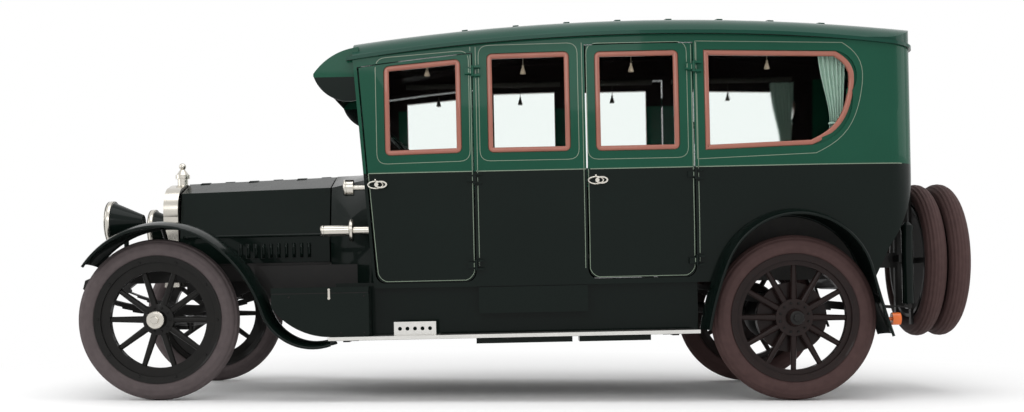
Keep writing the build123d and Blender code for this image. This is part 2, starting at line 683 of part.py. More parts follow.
def fender_strip(path, half_width, centre_y):
    """Crowned sheet with rolled edges, carried along a side-view path."""
    half, sheet = half_width, FENDER_SHEET
    outer = ThreePointArc((-half, -FENDER_DROP), (0, 0), (half, -FENDER_DROP))
    inner = ThreePointArc((-half, -FENDER_DROP - sheet), (0, -sheet), (half, -FENDER_DROP - sheet))
    ends = Line((-half, -FENDER_DROP), (-half, -FENDER_DROP - sheet)) + Line(
        (half, -FENDER_DROP), (half, -FENDER_DROP - sheet)
    )
    section = make_face(outer + inner + ends)
    for edge in (-half, half):
        section = section + Pos(edge, -FENDER_DROP - sheet / 2) * Circle(ROLLED_EDGE)
    start, along = path @ 0, path % 0
    across_way = -1 if start.X > (path @ 1).X else 1
    frame = Plane(origin=(start.X, centre_y, start.Y), x_dir=(0, across_way, 0), z_dir=(along.X, 0, along.Y))
    return sweep(frame * section, path=Pos(0, centre_y, 0) * (Plane.XZ * path))


def front_fender_path():
    """Side view of the front fender's crown, from its tip to the running board."""
    crown = ThreePointArc((at(-410), 782), (at(33), 1014), (at(373), 895))
    fall = TangentArc(crown @ 1, (at(640), 506), tangent=crown % 1)
    sweep_out = TangentArc(fall @ 1, (at(BOARD_FORE), BOARD_TOP - 12), tangent=fall % 1)
    return Wire((crown + fall + sweep_out).edges())


def rear_fender_path():
    """Side view of the rear fender's crown, from the running board round to its tail."""
    crown = ThreePointArc((at(3190), 735), (at(3629), 1014), (at(4052), 668))
    rise = TangentArc(crown @ 0, (at(3075), BOARD_TOP), tangent=(crown % 0) * -1)
    tail = TangentArc(crown @ 1, (at(4160), 295), tangent=crown % 1)
    return Wire((rise + crown + tail).edges())


def fender_pair(path):
    """Left and right fenders."""
    half = (FENDER_OUTER_HALF - FENDER_INNER_HALF) / 2
    left = fender_strip(path, half, FENDER_INNER_HALF + half)
    return [left, mirrored(left)]


def wheel_house():
    """Space under the rear fenders that the cabin leaves open."""
    path = rear_fender_path()
    left = across(make_face(path.edges() + [Line(path @ 1, path @ 0)]), FENDER_INNER_HALF + 2, BELT_HALF_WIDTH + WALL)
    return left + mirrored(left)


def wheel_house_walls(fenders):
    """Upright inner walls of the rear wheel spaces, up to the fenders' rolled edges."""
    path = rear_fender_path()
    under = make_face(path.edges() + [Line(path @ 1, path @ 0)])
    above_sill = block(0, CABIN_REAR, -BELT_HALF_WIDTH, BELT_HALF_WIDTH, SILL_Z, CROWN_Z)
    left = across(under, FENDER_INNER_HALF - FENDER_SHEET, FENDER_INNER_HALF) & above_sill
    left = (left - fenders[0]).solids().sort_by(SortBy.VOLUME)[-1]
    return left + mirrored(left)


def running_board():
    """Left running board: plank, mat behind the toolbox, raised metal edge and step plate."""
    foot = BOARD_TOP - BOARD_THICKNESS
    edge_inner = BOARD_OUTER_HALF - BOARD_EDGE
    plank = block(BOARD_FORE, BOARD_AFT, APRON_HALF, edge_inner, foot, BOARD_PLANK_TOP)
    mat = block(TOOLBOX_AFT + MOVING_GAP, BOARD_AFT, APRON_HALF, edge_inner, BOARD_PLANK_TOP, BOARD_MAT_TOP)
    edge = block(BOARD_FORE, BOARD_AFT, edge_inner, BOARD_OUTER_HALF, foot - BOARD_EDGE / 2, BOARD_TOP)
    step_outer = BOARD_OUTER_HALF - STEP_INSET
    step = block(STEP_FORE, STEP_AFT, step_outer - FENDER_SHEET, step_outer, BOARD_MAT_TOP, STEP_PLATE_TOP)
    for number in range(STEP_HOLES):
        centre = STEP_FORE + STEP_FIRST_HOLE + number * STEP_HOLE_PITCH
        height = (BOARD_TOP + STEP_PLATE_TOP) / 2
        step = step - drum(centre, height, STEP_HOLE_RADIUS, step_outer - 2 * STEP_INSET, BOARD_OUTER_HALF)
    return plank + mat + edge + step


def splash_apron():
    """Left apron between sill and running board, in sections, with a raised middle box and low pans."""
    inner = APRON_HALF - FENDER_SHEET
    foot = BOARD_TOP - APRON_LIP
    pieces = block(APRON_FORE, BOARD_AFT + APRON_TAIL, inner, APRON_HALF, foot, SILL_Z + WALL)
    shelf = block(BOARD_FORE, BOARD_AFT, inner, APRON_HALF + APRON_TAIL, foot, BOARD_TOP - BOARD_THICKNESS)
    middle = block(APRON_BOX_FORE, APRON_BOX_AFT, inner, APRON_BOX_OUTER, APRON_BOX_FOOT, SILL_Z - APRON_BOX_GAP)
    for fore, aft in PANS:
        shelf = shelf + block(fore, aft, PAN_INNER_HALF, APRON_HALF, foot - PAN_DEPTH, foot)
    return pieces + shelf + middle


def drum_along(fore, aft, radius):
    """Round bar along the toolbox lid's hinge line."""
    return rod((at(fore), LID_HINGE_HALF, LID_HINGE_Z), (at(aft), LID_HINGE_HALF, LID_HINGE_Z), radius)


def toolbox():
    """Open box beside the frame, cut away over the fender's foot, and its lid."""
    low = BOARD_PLANK_TOP
    seam = TOOLBOX_TOP - TOOLBOX_LID
    fore, aft, right, left = TOOLBOX_FORE, TOOLBOX_AFT, TOOLBOX_INNER_HALF, TOOLBOX_OUTER_HALF
    sheet = 2 * FENDER_SHEET
    body = block(fore, aft, right, left, low, seam - MOVING_GAP)
    body = body - block(fore + sheet, aft - sheet, right + sheet, left - sheet, low + sheet, TOOLBOX_TOP)
    crown = make_face(
        ThreePointArc((at(fore - 60), 640), (at(812), 385), (at(BOARD_FORE + 10), low + 6))
        + Polyline((at(BOARD_FORE + 10), low + 6), (at(fore - 60), low - 90), (at(fore - 60), 640))
    )
    body = body - across(crown, FENDER_INNER_HALF - 10, FENDER_OUTER_HALF + 10)
    lid = block(fore, aft, right, left, seam, TOOLBOX_TOP)
    for centre in LID_HINGES:
        barrel_part = drum_along(centre - 20, centre + 20, 6)
        lid = lid + barrel_part + block(centre - 20, centre + 20, LID_HINGE_HALF, right + 4, LID_HINGE_Z - 4, LID_HINGE_Z + 4)
        lid = lid - drum_along(centre - 40, centre + 40, 3 + BEARING_CLEARANCE)
        body = body + drum_along(centre - 36, centre + 36, 3)
        for fore_lug in (centre - 34, centre + 26):
            body = body + block(fore_lug, fore_lug + 8, LID_HINGE_HALF - 5, LID_HINGE_HALF + 3, seam - 60, LID_HINGE_Z + 5)
            body = body + block(fore_lug, fore_lug + 8, LID_HINGE_HALF - 5, right + sheet, seam - 60, seam - 20)
    return body, lid


def frame():
    """Channel rails, cross members, spring horns, board irons and the spare tyre carrier."""
    inner = RAIL_OUTER_HALF - RAIL_WIDTH
    rail = block(RAIL_FRONT_STATION, RAIL_REAR_STATION, inner, RAIL_OUTER_HALF, RAIL_BOTTOM, RAIL_TOP)
    rail = rail - block(RAIL_FRONT_STATION - 9, RAIL_REAR_STATION + 9, inner - 9, RAIL_OUTER_HALF - RAIL_SHEET,
                        RAIL_BOTTOM + RAIL_SHEET, RAIL_TOP - RAIL_SHEET)
    horn = [(RAIL_FRONT_STATION + 60, RAIL_TOP), (-520, 690), (-534, 640), (-505, 617), (-440, RAIL_BOTTOM),
            (RAIL_FRONT_STATION + 60, RAIL_BOTTOM)]
    side = rail + side_polygon(horn, inner, RAIL_OUTER_HALF)
    side = side + block(440, 490, inner, RAIL_OUTER_HALF, 628, RAIL_BOTTOM)
    side = side + block(2880, 2940, inner, REAR_SPRING_HALF + SPRING_WIDTH / 2, 636, RAIL_BOTTOM + 30)
    side = side + block(AIR_SPRING_STATION - 50, RAIL_REAR_STATION + 60, inner, REAR_SPRING_HALF, 700, 740)
    for station in BOARD_IRONS:
        side = side + block(station, station + 36, RAIL_OUTER_HALF - 8, RAIL_OUTER_HALF + 14, BOARD_TOP - 44, RAIL_BOTTOM + 40)
        side = side + block(station, station + 36, RAIL_OUTER_HALF - 8, BOARD_OUTER_HALF - 30, BOARD_TOP - BOARD_THICKNESS - 14,
                            BOARD_TOP - BOARD_THICKNESS)
    whole = side + mirrored(side)
    for station in CROSS_MEMBERS:
        web = RAIL_OUTER_HALF - RAIL_SHEET
        whole = whole + block(station, station + 60, -web, web, RAIL_BOTTOM + 12, RAIL_TOP - 12)
    guide = (at(-400), 0, CRANK_Z), (at(-300), 0, CRANK_Z)
    whole = (whole + rod(*guide, CRANK_RADIUS + 14)) - rod(*guide, CRANK_RADIUS)
    for half in (-150, 150):
        whole = whole + block(RAIL_REAR_STATION - 60, SPARE_FRONT_STATION, half - 18, half + 18, 692, 726)
        post = block(SPARE_FRONT_STATION - 80, SPARE_FRONT_STATION - 64, half - 18, half + 18, 320, 1100)
        whole = whole + post
    return whole


def leaf_pack(fore, aft, low, leaves, right):
    """Semi-elliptic spring through three side-view points: a long top leaf over shorter ones."""
    points = [(at(station), height) for station, height in (fore, low, aft)]
    arc = ThreePointArc(*points)
    centre, radius = arc.arc_center, arc.radius
    middle, half_span = (fore[0] + aft[0]) / 2, (aft[0] - fore[0]) / 2
    pack = None
    for number in range(leaves):
        reach = half_span * (1 - LEAF_STEP * number)
        inside = radius + number * LEAF
        band = Circle(inside + LEAF) - Circle(inside)
        window = Pos(at(middle) - centre.X, -radius) * Rectangle(2 * reach, radius)
        leaf = across(Pos(centre.X, centre.Y) * (band & window), right, right + SPRING_WIDTH)
        pack = leaf if pack is None else pack + leaf
    for station, height in (fore, aft):
        pack = pack + drum(station, height, SPRING_EYE, right, right + SPRING_WIDTH)
    return pack


def springs():
    """Front and rear leaf springs of both sides."""
    front_points = (-490, 622), (465, 622), (0, FRONT_SPRING_LOW)
    front = leaf_pack(*front_points, FRONT_LEAVES, RAIL_OUTER_HALF - SPRING_WIDTH)
    rear_points = (2910, 632), (AIR_SPRING_STATION, AIR_SPRING_EYE_Z), (WHEELBASE, REAR_SPRING_LOW)
    rear = leaf_pack(*rear_points, REAR_LEAVES, REAR_SPRING_HALF - SPRING_WIDTH / 2)
    return [front, mirrored(front), rear, mirrored(rear)]


def air_springs():
    """Upright cylinders between the frame's tail and the rear springs, plated on top."""
    foot = (at(AIR_SPRING_STATION), REAR_SPRING_HALF)
    tube = rod((*foot, AIR_SPRING_EYE_Z + SPRING_EYE), (*foot, 880), AIR_SPRING_RADIUS)
    cap = rod((*foot, 880), (*foot, 912), AIR_SPRING_RADIUS + 4)
    tip = Pos(*foot, 912) * Cone(AIR_SPRING_RADIUS, 12, 18, align=(Align.CENTER, Align.CENTER, Align.MIN))
    left = tube + cap + tip
    return [left, mirrored(left)]


def front_axle():
    """Beam between kingpin bosses, bored for the kingpins, with spring pads."""
    z = FRONT_TYRE_RADIUS
    web = block(-12, 12, -KINGPIN_HALF, KINGPIN_HALF, z - BOSS_HALF_HEIGHT + 4, z)
    web = web + block(-12, 12, -KINGPIN_HALF + 60, KINGPIN_HALF - 60, z - 45, z)
    beam = web + block(-28, 28, -KINGPIN_HALF + 60, KINGPIN_HALF - 60, z - 14, z)
    beam = beam + block(-28, 28, -KINGPIN_HALF + 60, KINGPIN_HALF - 60, z - 59, z - 45)
    for side in (1, -1):
        pin = (at(0), side * KINGPIN_HALF)
        beam = beam + rod((*pin, z - BOSS_HALF_HEIGHT), (*pin, z + BOSS_HALF_HEIGHT), BOSS_RADIUS)
        bore = rod((*pin, z - 2 * BOSS_HALF_HEIGHT), (*pin, z + 2 * BOSS_HALF_HEIGHT), KINGPIN_RADIUS + BEARING_CLEARANCE)
        right, left = sorted((side * (RAIL_OUTER_HALF - SPRING_WIDTH), side * RAIL_OUTER_HALF))
        beam = (beam - bore) + block(-60, 60, right, left, z, FRONT_SPRING_LOW - LEAF * FRONT_LEAVES + 7)
    return beam


def knuckle():
    """Left steering knuckle: forked lugs, kingpin, wheel spindle and steering arm."""
    z, low = FRONT_TYRE_RADIUS, BOSS_HALF_HEIGHT + LUG_GAP
    pin = (at(0), KINGPIN_HALF)
    shape = rod((*pin, z - low - LUG_HEIGHT), (*pin, z + low + LUG_HEIGHT), KINGPIN_RADIUS)
    web_in, web_out = KINGPIN_HALF + BOSS_RADIUS + 6, KINGPIN_HALF + BOSS_RADIUS + 20
    for foot in (z - low - LUG_HEIGHT, z + low):
        shape = shape + rod((*pin, foot), (*pin, foot + LUG_HEIGHT), BOSS_RADIUS - 2)
        shape = shape + block(-22, 22, KINGPIN_HALF, web_out, foot, foot + LUG_HEIGHT)
    shape = shape + block(-22, 22, web_in, web_out, z - low - LUG_HEIGHT, z + low + LUG_HEIGHT)
    shape = shape + drum(0, z, SPINDLE_RADIUS, web_out - 2, TRACK / 2 + 40)
    arm_foot = z - low - LUG_HEIGHT
    shape = shape + block(0, ARM_LENGTH, KINGPIN_HALF - 14, KINGPIN_HALF + 14, arm_foot, arm_foot + LUG_HEIGHT)
    eye = (at(ARM_LENGTH), KINGPIN_HALF)
    shape = shape + rod((*eye, arm_foot), (*eye, arm_foot + LUG_HEIGHT), 20)
    return shape + rod((*eye, arm_foot), (*eye, arm_foot + 2 * LUG_HEIGHT + 2), 8)


def tie_rod():
    """Bar behind the axle between the two steering arms."""
    foot = FRONT_TYRE_RADIUS - BOSS_HALF_HEIGHT + 1
    eye_z = foot + LUG_HEIGHT / 2
    x = at(ARM_LENGTH)
    bar = rod((x, -KINGPIN_HALF + 16, eye_z), (x, KINGPIN_HALF - 16, eye_z), TRACK_ROD_RADIUS * 0.8)
    for side, play in ((1, BEARING_CLEARANCE), (-1, 2.0)):
        eye = (x, side * KINGPIN_HALF)
        bar = bar + rod((*eye, foot), (*eye, foot + LUG_HEIGHT - 2), 20)
        bar = bar - rod((*eye, foot - 9), (*eye, foot + LUG_HEIGHT + 9), 8 + play)
    return bar


def rear_axle():
    """Tubes, the final drive housing and a plain torque tube."""
    z, half = REAR_TYRE_RADIUS, TRACK / 2
    tube = drum(WHEELBASE, z, AXLE_TUBE_RADIUS, -half + 66, half - 66)
    tube = tube + Pos(at(WHEELBASE), 0, z) * Sphere(150)
    tube = tube + drum(WHEELBASE, z, SPINDLE_RADIUS, -half - 40, half + 40)
    nose = rod((at(WHEELBASE), 0, z), (at(TORQUE_TUBE_FORE), 0, z + 120), 34)
    for side in (1, -1):
        right, left = sorted((side * (REAR_SPRING_HALF - SPRING_WIDTH / 2), side * (REAR_SPRING_HALF + SPRING_WIDTH / 2)))
        tube = tube + block(WHEELBASE - 60, WHEELBASE + 60, right, left, z, z + REAR_PAD)
    return tube + nose


def tapered_spoke(inner, outer, thick, thin):
    """One wooden spoke, lying along X."""
    return Pos(inner, 0, 0) * (Rot(0, 90, 0) * Cone(thick, thin, outer - inner, align=(Align.CENTER, Align.CENTER, Align.MIN)))


def wheel(radius, section, spokes, felloe_inner, flange, drum_radius):
    """Left wheel about its own centre: hub, tapered spokes, felloe, rim and, at the rear, its brake drum."""
    seat = radius - section * RIM_SHARE
    hub = [
        (SPINDLE_RADIUS + BEARING_CLEARANCE, -56), (52, -56), (52, -30), (flange, -26), (flange, -16), (60, -12),
        (60, 12), (flange, 16), (flange, 26), (52, 34), (46, 84), (38, 96), (0, 96), (0, 60),
        (SPINDLE_RADIUS + BEARING_CLEARANCE, 60),
    ]
    felloe = [(felloe_inner, -25), (seat - 26, -25), (seat - 26, 25), (felloe_inner, 25)]
    rim_half = section * 0.36
    rim = [(seat - 26, -rim_half + 6), (seat, -rim_half), (seat + 10, -rim_half - 6), (seat + 10, -rim_half),
           (seat, -rim_half + 6), (seat, rim_half - 6), (seat + 10, rim_half), (seat + 10, rim_half + 6),
           (seat, rim_half), (seat - 26, rim_half - 6)]
    shape = revolve(make_face(Polyline(*hub, close=True)), axis=Axis.Y)
    ring = revolve(make_face(Polyline(*felloe, close=True)), axis=Axis.Y)
    ring = ring + revolve(make_face(Polyline(*rim, close=True)), axis=Axis.Y)
    for number in range(spokes):
        spoke = tapered_spoke(48, felloe_inner + 8, SPOKE_THICK, SPOKE_THIN)
        shape = shape + spoke.rotate(Axis.Y, number * 360 / spokes)
    shape = shape + ring
    if drum_radius:
        can = [(48, -40), (drum_radius, -40), (drum_radius, -98), (drum_radius - 8, -98), (drum_radius - 8, -48), (48, -48)]
        shape = shape + revolve(make_face(Polyline(*can, close=True)), axis=Axis.Y)
    return shape


def tyre(radius, section):
    """Tyre about its own centre, seated on the rim's outer face."""
    seat = radius - section * RIM_SHARE
    centre = radius - section / 2
    edges = section * 0.36 - 6
    round_part = ThreePointArc((seat, -edges), (centre, -section / 2), (radius, 0))
    other = ThreePointArc((seat, edges), (centre, section / 2), (radius, 0))
    face = make_face(round_part + other + Line((seat, -edges), (seat, edges)))
    return revolve(face, axis=Axis.Y)


def bench(fore, aft, foot, top, back_top, half):
    """Seat cushion and its leaning back, as two solids."""
    cushion = block(fore, aft, -half, half, foot, top)
    lean = [(aft + 4, foot), (aft + 150, foot), (aft + 210, back_top), (aft + 90, back_top)]
    return [cushion, side_polygon(lean, -half, half)]


def headlamp(side):
    """Drum lamp with a domed back, on its post."""
    y = side * HEADLAMP_HALF
    shape = rod((at(HEADLAMP_FRONT), y, HEADLAMP_Z), (at(HEADLAMP_FRONT + 30), y, HEADLAMP_Z), HEADLAMP_RADIUS)
    bowl = Pos(at(HEADLAMP_FRONT + 30), y, HEADLAMP_Z) * Rot(0, -90, 0) * Cone(
        HEADLAMP_RADIUS - 8, 48, HEADLAMP_REAR - HEADLAMP_FRONT - 30, align=(Align.CENTER, Align.CENTER, Align.MIN)
    )
    post = rod((at(HEADLAMP_FRONT + 90), y, HEADLAMP_Z - 70), (at(HEADLAMP_FRONT + 90), y, LAMP_BAR_Z), 14)
    return shape + bowl + post


def lamps():
    """Headlamps on their cross bar, and the small lamps on the cowl."""
    bar = rod((at(HEADLAMP_FRONT + 90), -HEADLAMP_HALF, LAMP_BAR_Z), (at(HEADLAMP_FRONT + 90), HEADLAMP_HALF, LAMP_BAR_Z), 16)
    for side in (1, -1):
        bar = bar + headlamp(side)
        bar = bar + block(HEADLAMP_FRONT + 76, HEADLAMP_FRONT + 104, side * 375 - 14, side * 375 + 14, RAIL_TOP, LAMP_BAR_Z)
    return bar


def steering_column():
    """Raked column from the dash down to the steering box on the left rail."""
    start = (at(COLUMN_FOOT[0]), COLUMN_Y, COLUMN_FOOT[1])
    end = (at(COLUMN_HEAD[0]), COLUMN_Y, COLUMN_HEAD[1])
    return rod(start, end, 22) + block(COLUMN_FOOT[0] - 60, COLUMN_FOOT[0] + 60, COLUMN_Y - 45, 350, RAIL_BOTTOM, RAIL_TOP)


def steering_wheel():
    """Four-spoked wheel about its own centre, axis up."""
    shape = Torus(215, 14) + Cylinder(40, 30)
    for number in range(4):
        arm = Rot(0, 0, number * 90) * (Pos(110, 0, 0) * Box(215, 22, 12))
        shape = shape + arm
    return shape


def floor(hollow, fenders):
    """Cabin floor on the rails, the toe board, and the inner walls of the wheel spaces."""
    top = RAIL_TOP + FLOOR_THICKNESS
    plate = hollow & block(CABIN_FRONT_EAVE, CABIN_REAR, -BELT_HALF_WIDTH, BELT_HALF_WIDTH, RAIL_TOP, top)
    toe = block(COWL_FRONT + DASH, CABIN_FRONT_SILL + 2 * WALL, 20 - COVER_REAR_HALF, COVER_REAR_HALF - 20, RAIL_TOP, top)
    plate = (plate + toe) - wheel_house() + wheel_house_walls(fenders)
    for fender in fenders:
        plate = plate - fender
    return plate


def engine():
    """Plain block of the engine's size on arms to the rails."""
    web = RAIL_OUTER_HALF - RAIL_SHEET
    mass = block(130, 760, -125, 125, 600, 1050)
    return mass + block(180, 230, -web, web, 690, 735) + block(640, 690, -web, web, 690, 735)


def exhaust():
    """Pipe and silencer under the right side, on two hangers."""
    y, z = -EXHAUST_Y, EXHAUST_Z
    shape = rod((at(760), y, z), (at(1900), y, z), 28) + rod((at(1900), y, z), (at(2600), y, z), 75)
    shape = shape + rod((at(2600), y, z), (at(3000), y, z), 24)
    for station in (1300, 2240):
        shape = shape + block(station, station + 30, -RAIL_OUTER_HALF, y, z, z + 30)
        shape = shape + block(station, station + 30, -RAIL_OUTER_HALF, 10 - RAIL_OUTER_HALF, z, RAIL_BOTTOM)
    return shape


def fuel_tank():
    """Drum tank across the tail, between the rails."""
    inner = RAIL_OUTER_HALF - RAIL_WIDTH
    return drum(4040, RAIL_BOTTOM - 30, 98, -inner, inner)


def horn(side_form):
    """Plated trumpet horn beside the cowl."""
    y = HORN_HALF
    barrel_part = rod((at(928), y, HORN_Z), (at(1094), y, HORN_Z), 31)
    flange = rod((at(1094), y, HORN_Z), (at(1108), y, HORN_Z), 64)
    tail = rod((at(1108), y, HORN_Z), (at(CABIN_FRONT_SILL), y, HORN_Z), 24)
    return (barrel_part + flange + tail) - side_form


def cowl_lamps(side_form):
    """Small round lamps on the cowl's shoulders."""
    left = rod((at(1062), 640, 1190), (at(1112), 640, 1190), 46) + rod((at(1112), 640, 1190), (at(1240), 640, 1190), 16)
    both = []
    for shape in (left, mirrored(left)):
        both.append((shape - side_form).solids().sort_by(SortBy.VOLUME)[-1])
    return both


def tail_lamp(fenders):
    """Round lamp on a stalk behind the left rear fender."""
    y, z = 620, 372
    lamp = rod((at(4192), y, z), (at(4240), y, z), 36) + rod((at(4100), y, z), (at(4192), y, z), 10)
    return (lamp - fenders[0]).solids().sort_by(SortBy.VOLUME)[-1]


def spare_tyres():
    """Two spare tyres upright across the tail."""
    ring = tyre(REAR_TYRE_RADIUS, REAR_TYRE_SECTION).rotate(Axis.Z, 90)
    return [Pos(at(SPARE_FRONT_STATION + number * SPARE_PITCH), 0, SPARE_Z) * ring for number in range(2)]


def spare_rims():
    """Rim band and cross bar that carry the spare tyres."""
    seat = REAR_TYRE_RADIUS - REAR_TYRE_SECTION * RIM_SHARE
    fore, aft = SPARE_FRONT_STATION - 50, SPARE_FRONT_STATION + SPARE_PITCH + 50
    start, end = (at(fore), 0, SPARE_Z), (at(aft), 0, SPARE_Z)
    band = rod(start, end, seat) - rod(start, end, seat - 20)
    bars = block(fore, fore + 30, -seat + 8, seat - 8, SPARE_Z - 20, SPARE_Z + 14)
    return band + bars


def front_fender_irons():
    """Stays from the rails out to the front fenders."""
    foot_y = RAIL_OUTER_HALF - RAIL_WIDTH / 2
    foot = block(-20, 20, foot_y - 20, foot_y + 20, RAIL_TOP, RAIL_TOP + 12)
    left = foot + rod((at(0), foot_y, RAIL_TOP + 10), (at(0), 600, 985), 12)
    return [left, mirrored(left)]


def placed_wheel(shape, station, radius, side):
    """Sets a left-hand wheel or tyre at its hub, mirrored for the right."""
    handed = shape if side > 0 else mirrored(shape)
    return Pos(at(station), side * TRACK / 2, radius) * handed


def save(name, shape):
    """Writes one node, whose solids may be several like pieces."""
    pieces = shape if isinstance(shape, list) else [shape]
    solids = [solid for piece in pieces for solid in piece.solids()]
    export_step(Compound(solids) if len(solids) > 1 else solids[0], f"parts/{name}.step")


SKIN = cabin(0)
HOLLOW = cabin(WALL)
SHELL = (SKIN - HOLLOW) & under_eave(0)
GLASS_SKIN = cabin(GLASS_INSET) - cabin(GLASS_INSET + GLASS)
SIDES = {"left": 1, "right": -1}
DOORS = {"front": (FRONT_DOOR, "front_door"), "rear": (REAR_DOOR, "rear_door")}

for name, side in SIDES.items():
    save(f"body_side_{name}", sprung(body_side(SHELL, side)))
    for place, (spec, window) in DOORS.items():
        save(f"door_{place}_{name}", sprung(door(SHELL, spec, window, side)))
        save(f"door_glass_{place}_{name}", sprung(pane(window_face(window), side)))

ROOF = roof_panel(SKIN, HOLLOW)
save("roof", sprung(ROOF))
save("body_back", sprung(body_back(SHELL)))
save("windshield_frame", sprung(screen_frame(SHELL)))
save("fixed_glass", [sprung(glass) for glass in fixed_glass()])
VISOR = (visor() - SKIN - ROOF).solids().sort_by(SortBy.VOLUME)[-1]
save("sun_visor", sprung(VISOR))
REAR_FENDERS = fender_pair(rear_fender_path())
save("floor", sprung(floor(HOLLOW, REAR_FENDERS)))

LEAF_SPRINGS = springs()
AIR_SPRINGS = air_springs()
FRAME = frame() + spare_rims()
for spring in LEAF_SPRINGS + AIR_SPRINGS:
    FRAME = FRAME - spring
COLUMN = steering_column() - FRAME
COLUMN_HOLE = rod((at(COLUMN_FOOT[0]), COLUMN_Y, COLUMN_FOOT[1]), (at(COLUMN_HEAD[0]), COLUMN_Y, COLUMN_HEAD[1]), 24)
COWL = cowl(SKIN) - COLUMN_HOLE
COVER_HINGE = cover_line(RADIATOR_REAR, COWL_FRONT, COVER_PIN)
save("cowl", sprung(COWL + COVER_HINGE))
save("engine_cover_left", sprung(engine_cover(COVER_FIRST_BARREL)))
save("engine_cover_right", sprung(mirrored(engine_cover(COVER_FIRST_BARREL + COVER_BARREL_PITCH / 2))))
save("radiator_shell", sprung(radiator_shell()))
save("radiator_core", sprung(radiator_core()))
save("engine", sprung(engine()))
save("frame", sprung(FRAME))
save("exhaust", sprung(exhaust()))
save("fuel_tank", sprung(fuel_tank()))
save("springs", [sprung(spring) for spring in LEAF_SPRINGS])
save("air_springs", [sprung(spring) for spring in AIR_SPRINGS])

IRONS = front_fender_irons()
FRONT_FENDERS = [fender + iron for fender, iron in zip(fender_pair(front_fender_path()), IRONS)]
save("front_fenders", [sprung(fender) for fender in FRONT_FENDERS])
save("rear_fenders", [sprung(fender) for fender in REAR_FENDERS])
BOARD = running_board() - FRONT_FENDERS[0] - REAR_FENDERS[0]
APRON = splash_apron() - SHELL - COWL - FRAME - FRONT_FENDERS[0] - REAR_FENDERS[0]
save("running_boards", [sprung(BOARD), sprung(mirrored(BOARD))])
save("splash_aprons", [sprung(APRON), sprung(mirrored(APRON))])
BOX, LID = toolbox()
save("toolbox", sprung(BOX))
save("toolbox_lid", sprung(LID))

save("lamps", sprung(lamps()))
save("cowl_lamps", [sprung(lamp) for lamp in cowl_lamps(SKIN + cowl_form(0))])
save("tail_lamp", sprung(tail_lamp(REAR_FENDERS)))
save("horn", sprung(horn(SKIN + cowl_form(0))))
save("spare_tyres", [sprung(ring) for ring in spare_tyres()])
save("steering_column", sprung(COLUMN))
RISE = Vector(at(COLUMN_HEAD[0]) - at(COLUMN_FOOT[0]), 0, COLUMN_HEAD[1] - COLUMN_FOOT[1])
HEAD = Plane(origin=(at(COLUMN_HEAD[0]), COLUMN_Y, COLUMN_HEAD[1]), z_dir=RISE)
save("steering_wheel", sprung(HEAD * (Pos(0, 0, 15) * steering_wheel())))
FRONT_BENCH = bench(1640, 2070, RAIL_TOP + FLOOR_THICKNESS, 1090, 1330, 630)
REAR_BENCH = bench(3420, 3930, RAIL_TOP + FLOOR_THICKNESS, 1090, 1350, 560)
save("seats", [sprung(piece) for piece in FRONT_BENCH + REAR_BENCH])

FRONT_AXLE, REAR_AXLE = front_axle(), rear_axle()
for spring in LEAF_SPRINGS:
    FRONT_AXLE = FRONT_AXLE - sprung(spring)
    REAR_AXLE = REAR_AXLE - sprung(spring)
save("front_axle", FRONT_AXLE)
save("rear_axle", REAR_AXLE)
KNUCKLE = knuckle()
save("knuckle_left", KNUCKLE)
save("knuckle_right", mirrored(KNUCKLE))
save("tie_rod", tie_rod())
FRONT_WHEEL = wheel(FRONT_TYRE_RADIUS, FRONT_TYRE_SECTION, FRONT_SPOKES, 275, 88, 0)
REAR_WHEEL = wheel(REAR_TYRE_RADIUS, REAR_TYRE_SECTION, REAR_SPOKES, 298, 105, 200)
for name, side in SIDES.items():
    save(f"wheel_front_{name}", placed_wheel(FRONT_WHEEL, 0, FRONT_TYRE_RADIUS, side))
    save(f"wheel_rear_{name}", placed_wheel(REAR_WHEEL, WHEELBASE, REAR_TYRE_RADIUS, side))
    front_ring = tyre(FRONT_TYRE_RADIUS, FRONT_TYRE_SECTION) - FRONT_WHEEL
    rear_ring = tyre(REAR_TYRE_RADIUS, REAR_TYRE_SECTION) - REAR_WHEEL
    save(f"tyre_front_{name}", placed_wheel(front_ring, 0, FRONT_TYRE_RADIUS, side))
    save(f"tyre_rear_{name}", placed_wheel(rear_ring, WHEELBASE, REAR_TYRE_RADIUS, side))
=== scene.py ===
# %% [markdown]
# A closed four-door car of about 1914
#
# The car's construction comes packed as a fixed frame: panels, axles, wheels, doors and joints at
# their real size. This notebook gives it its looks. It paints each panel and adds what is too fine
# for construction: window frames, coach lines, painted highlight lines beside the door edges, tyre
# ribs, a radiator mesh, cushions and curtains.

# %% Load the frame
import json
import math

import bmesh
import bpy

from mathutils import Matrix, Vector
from mathutils.bvhtree import BVHTree

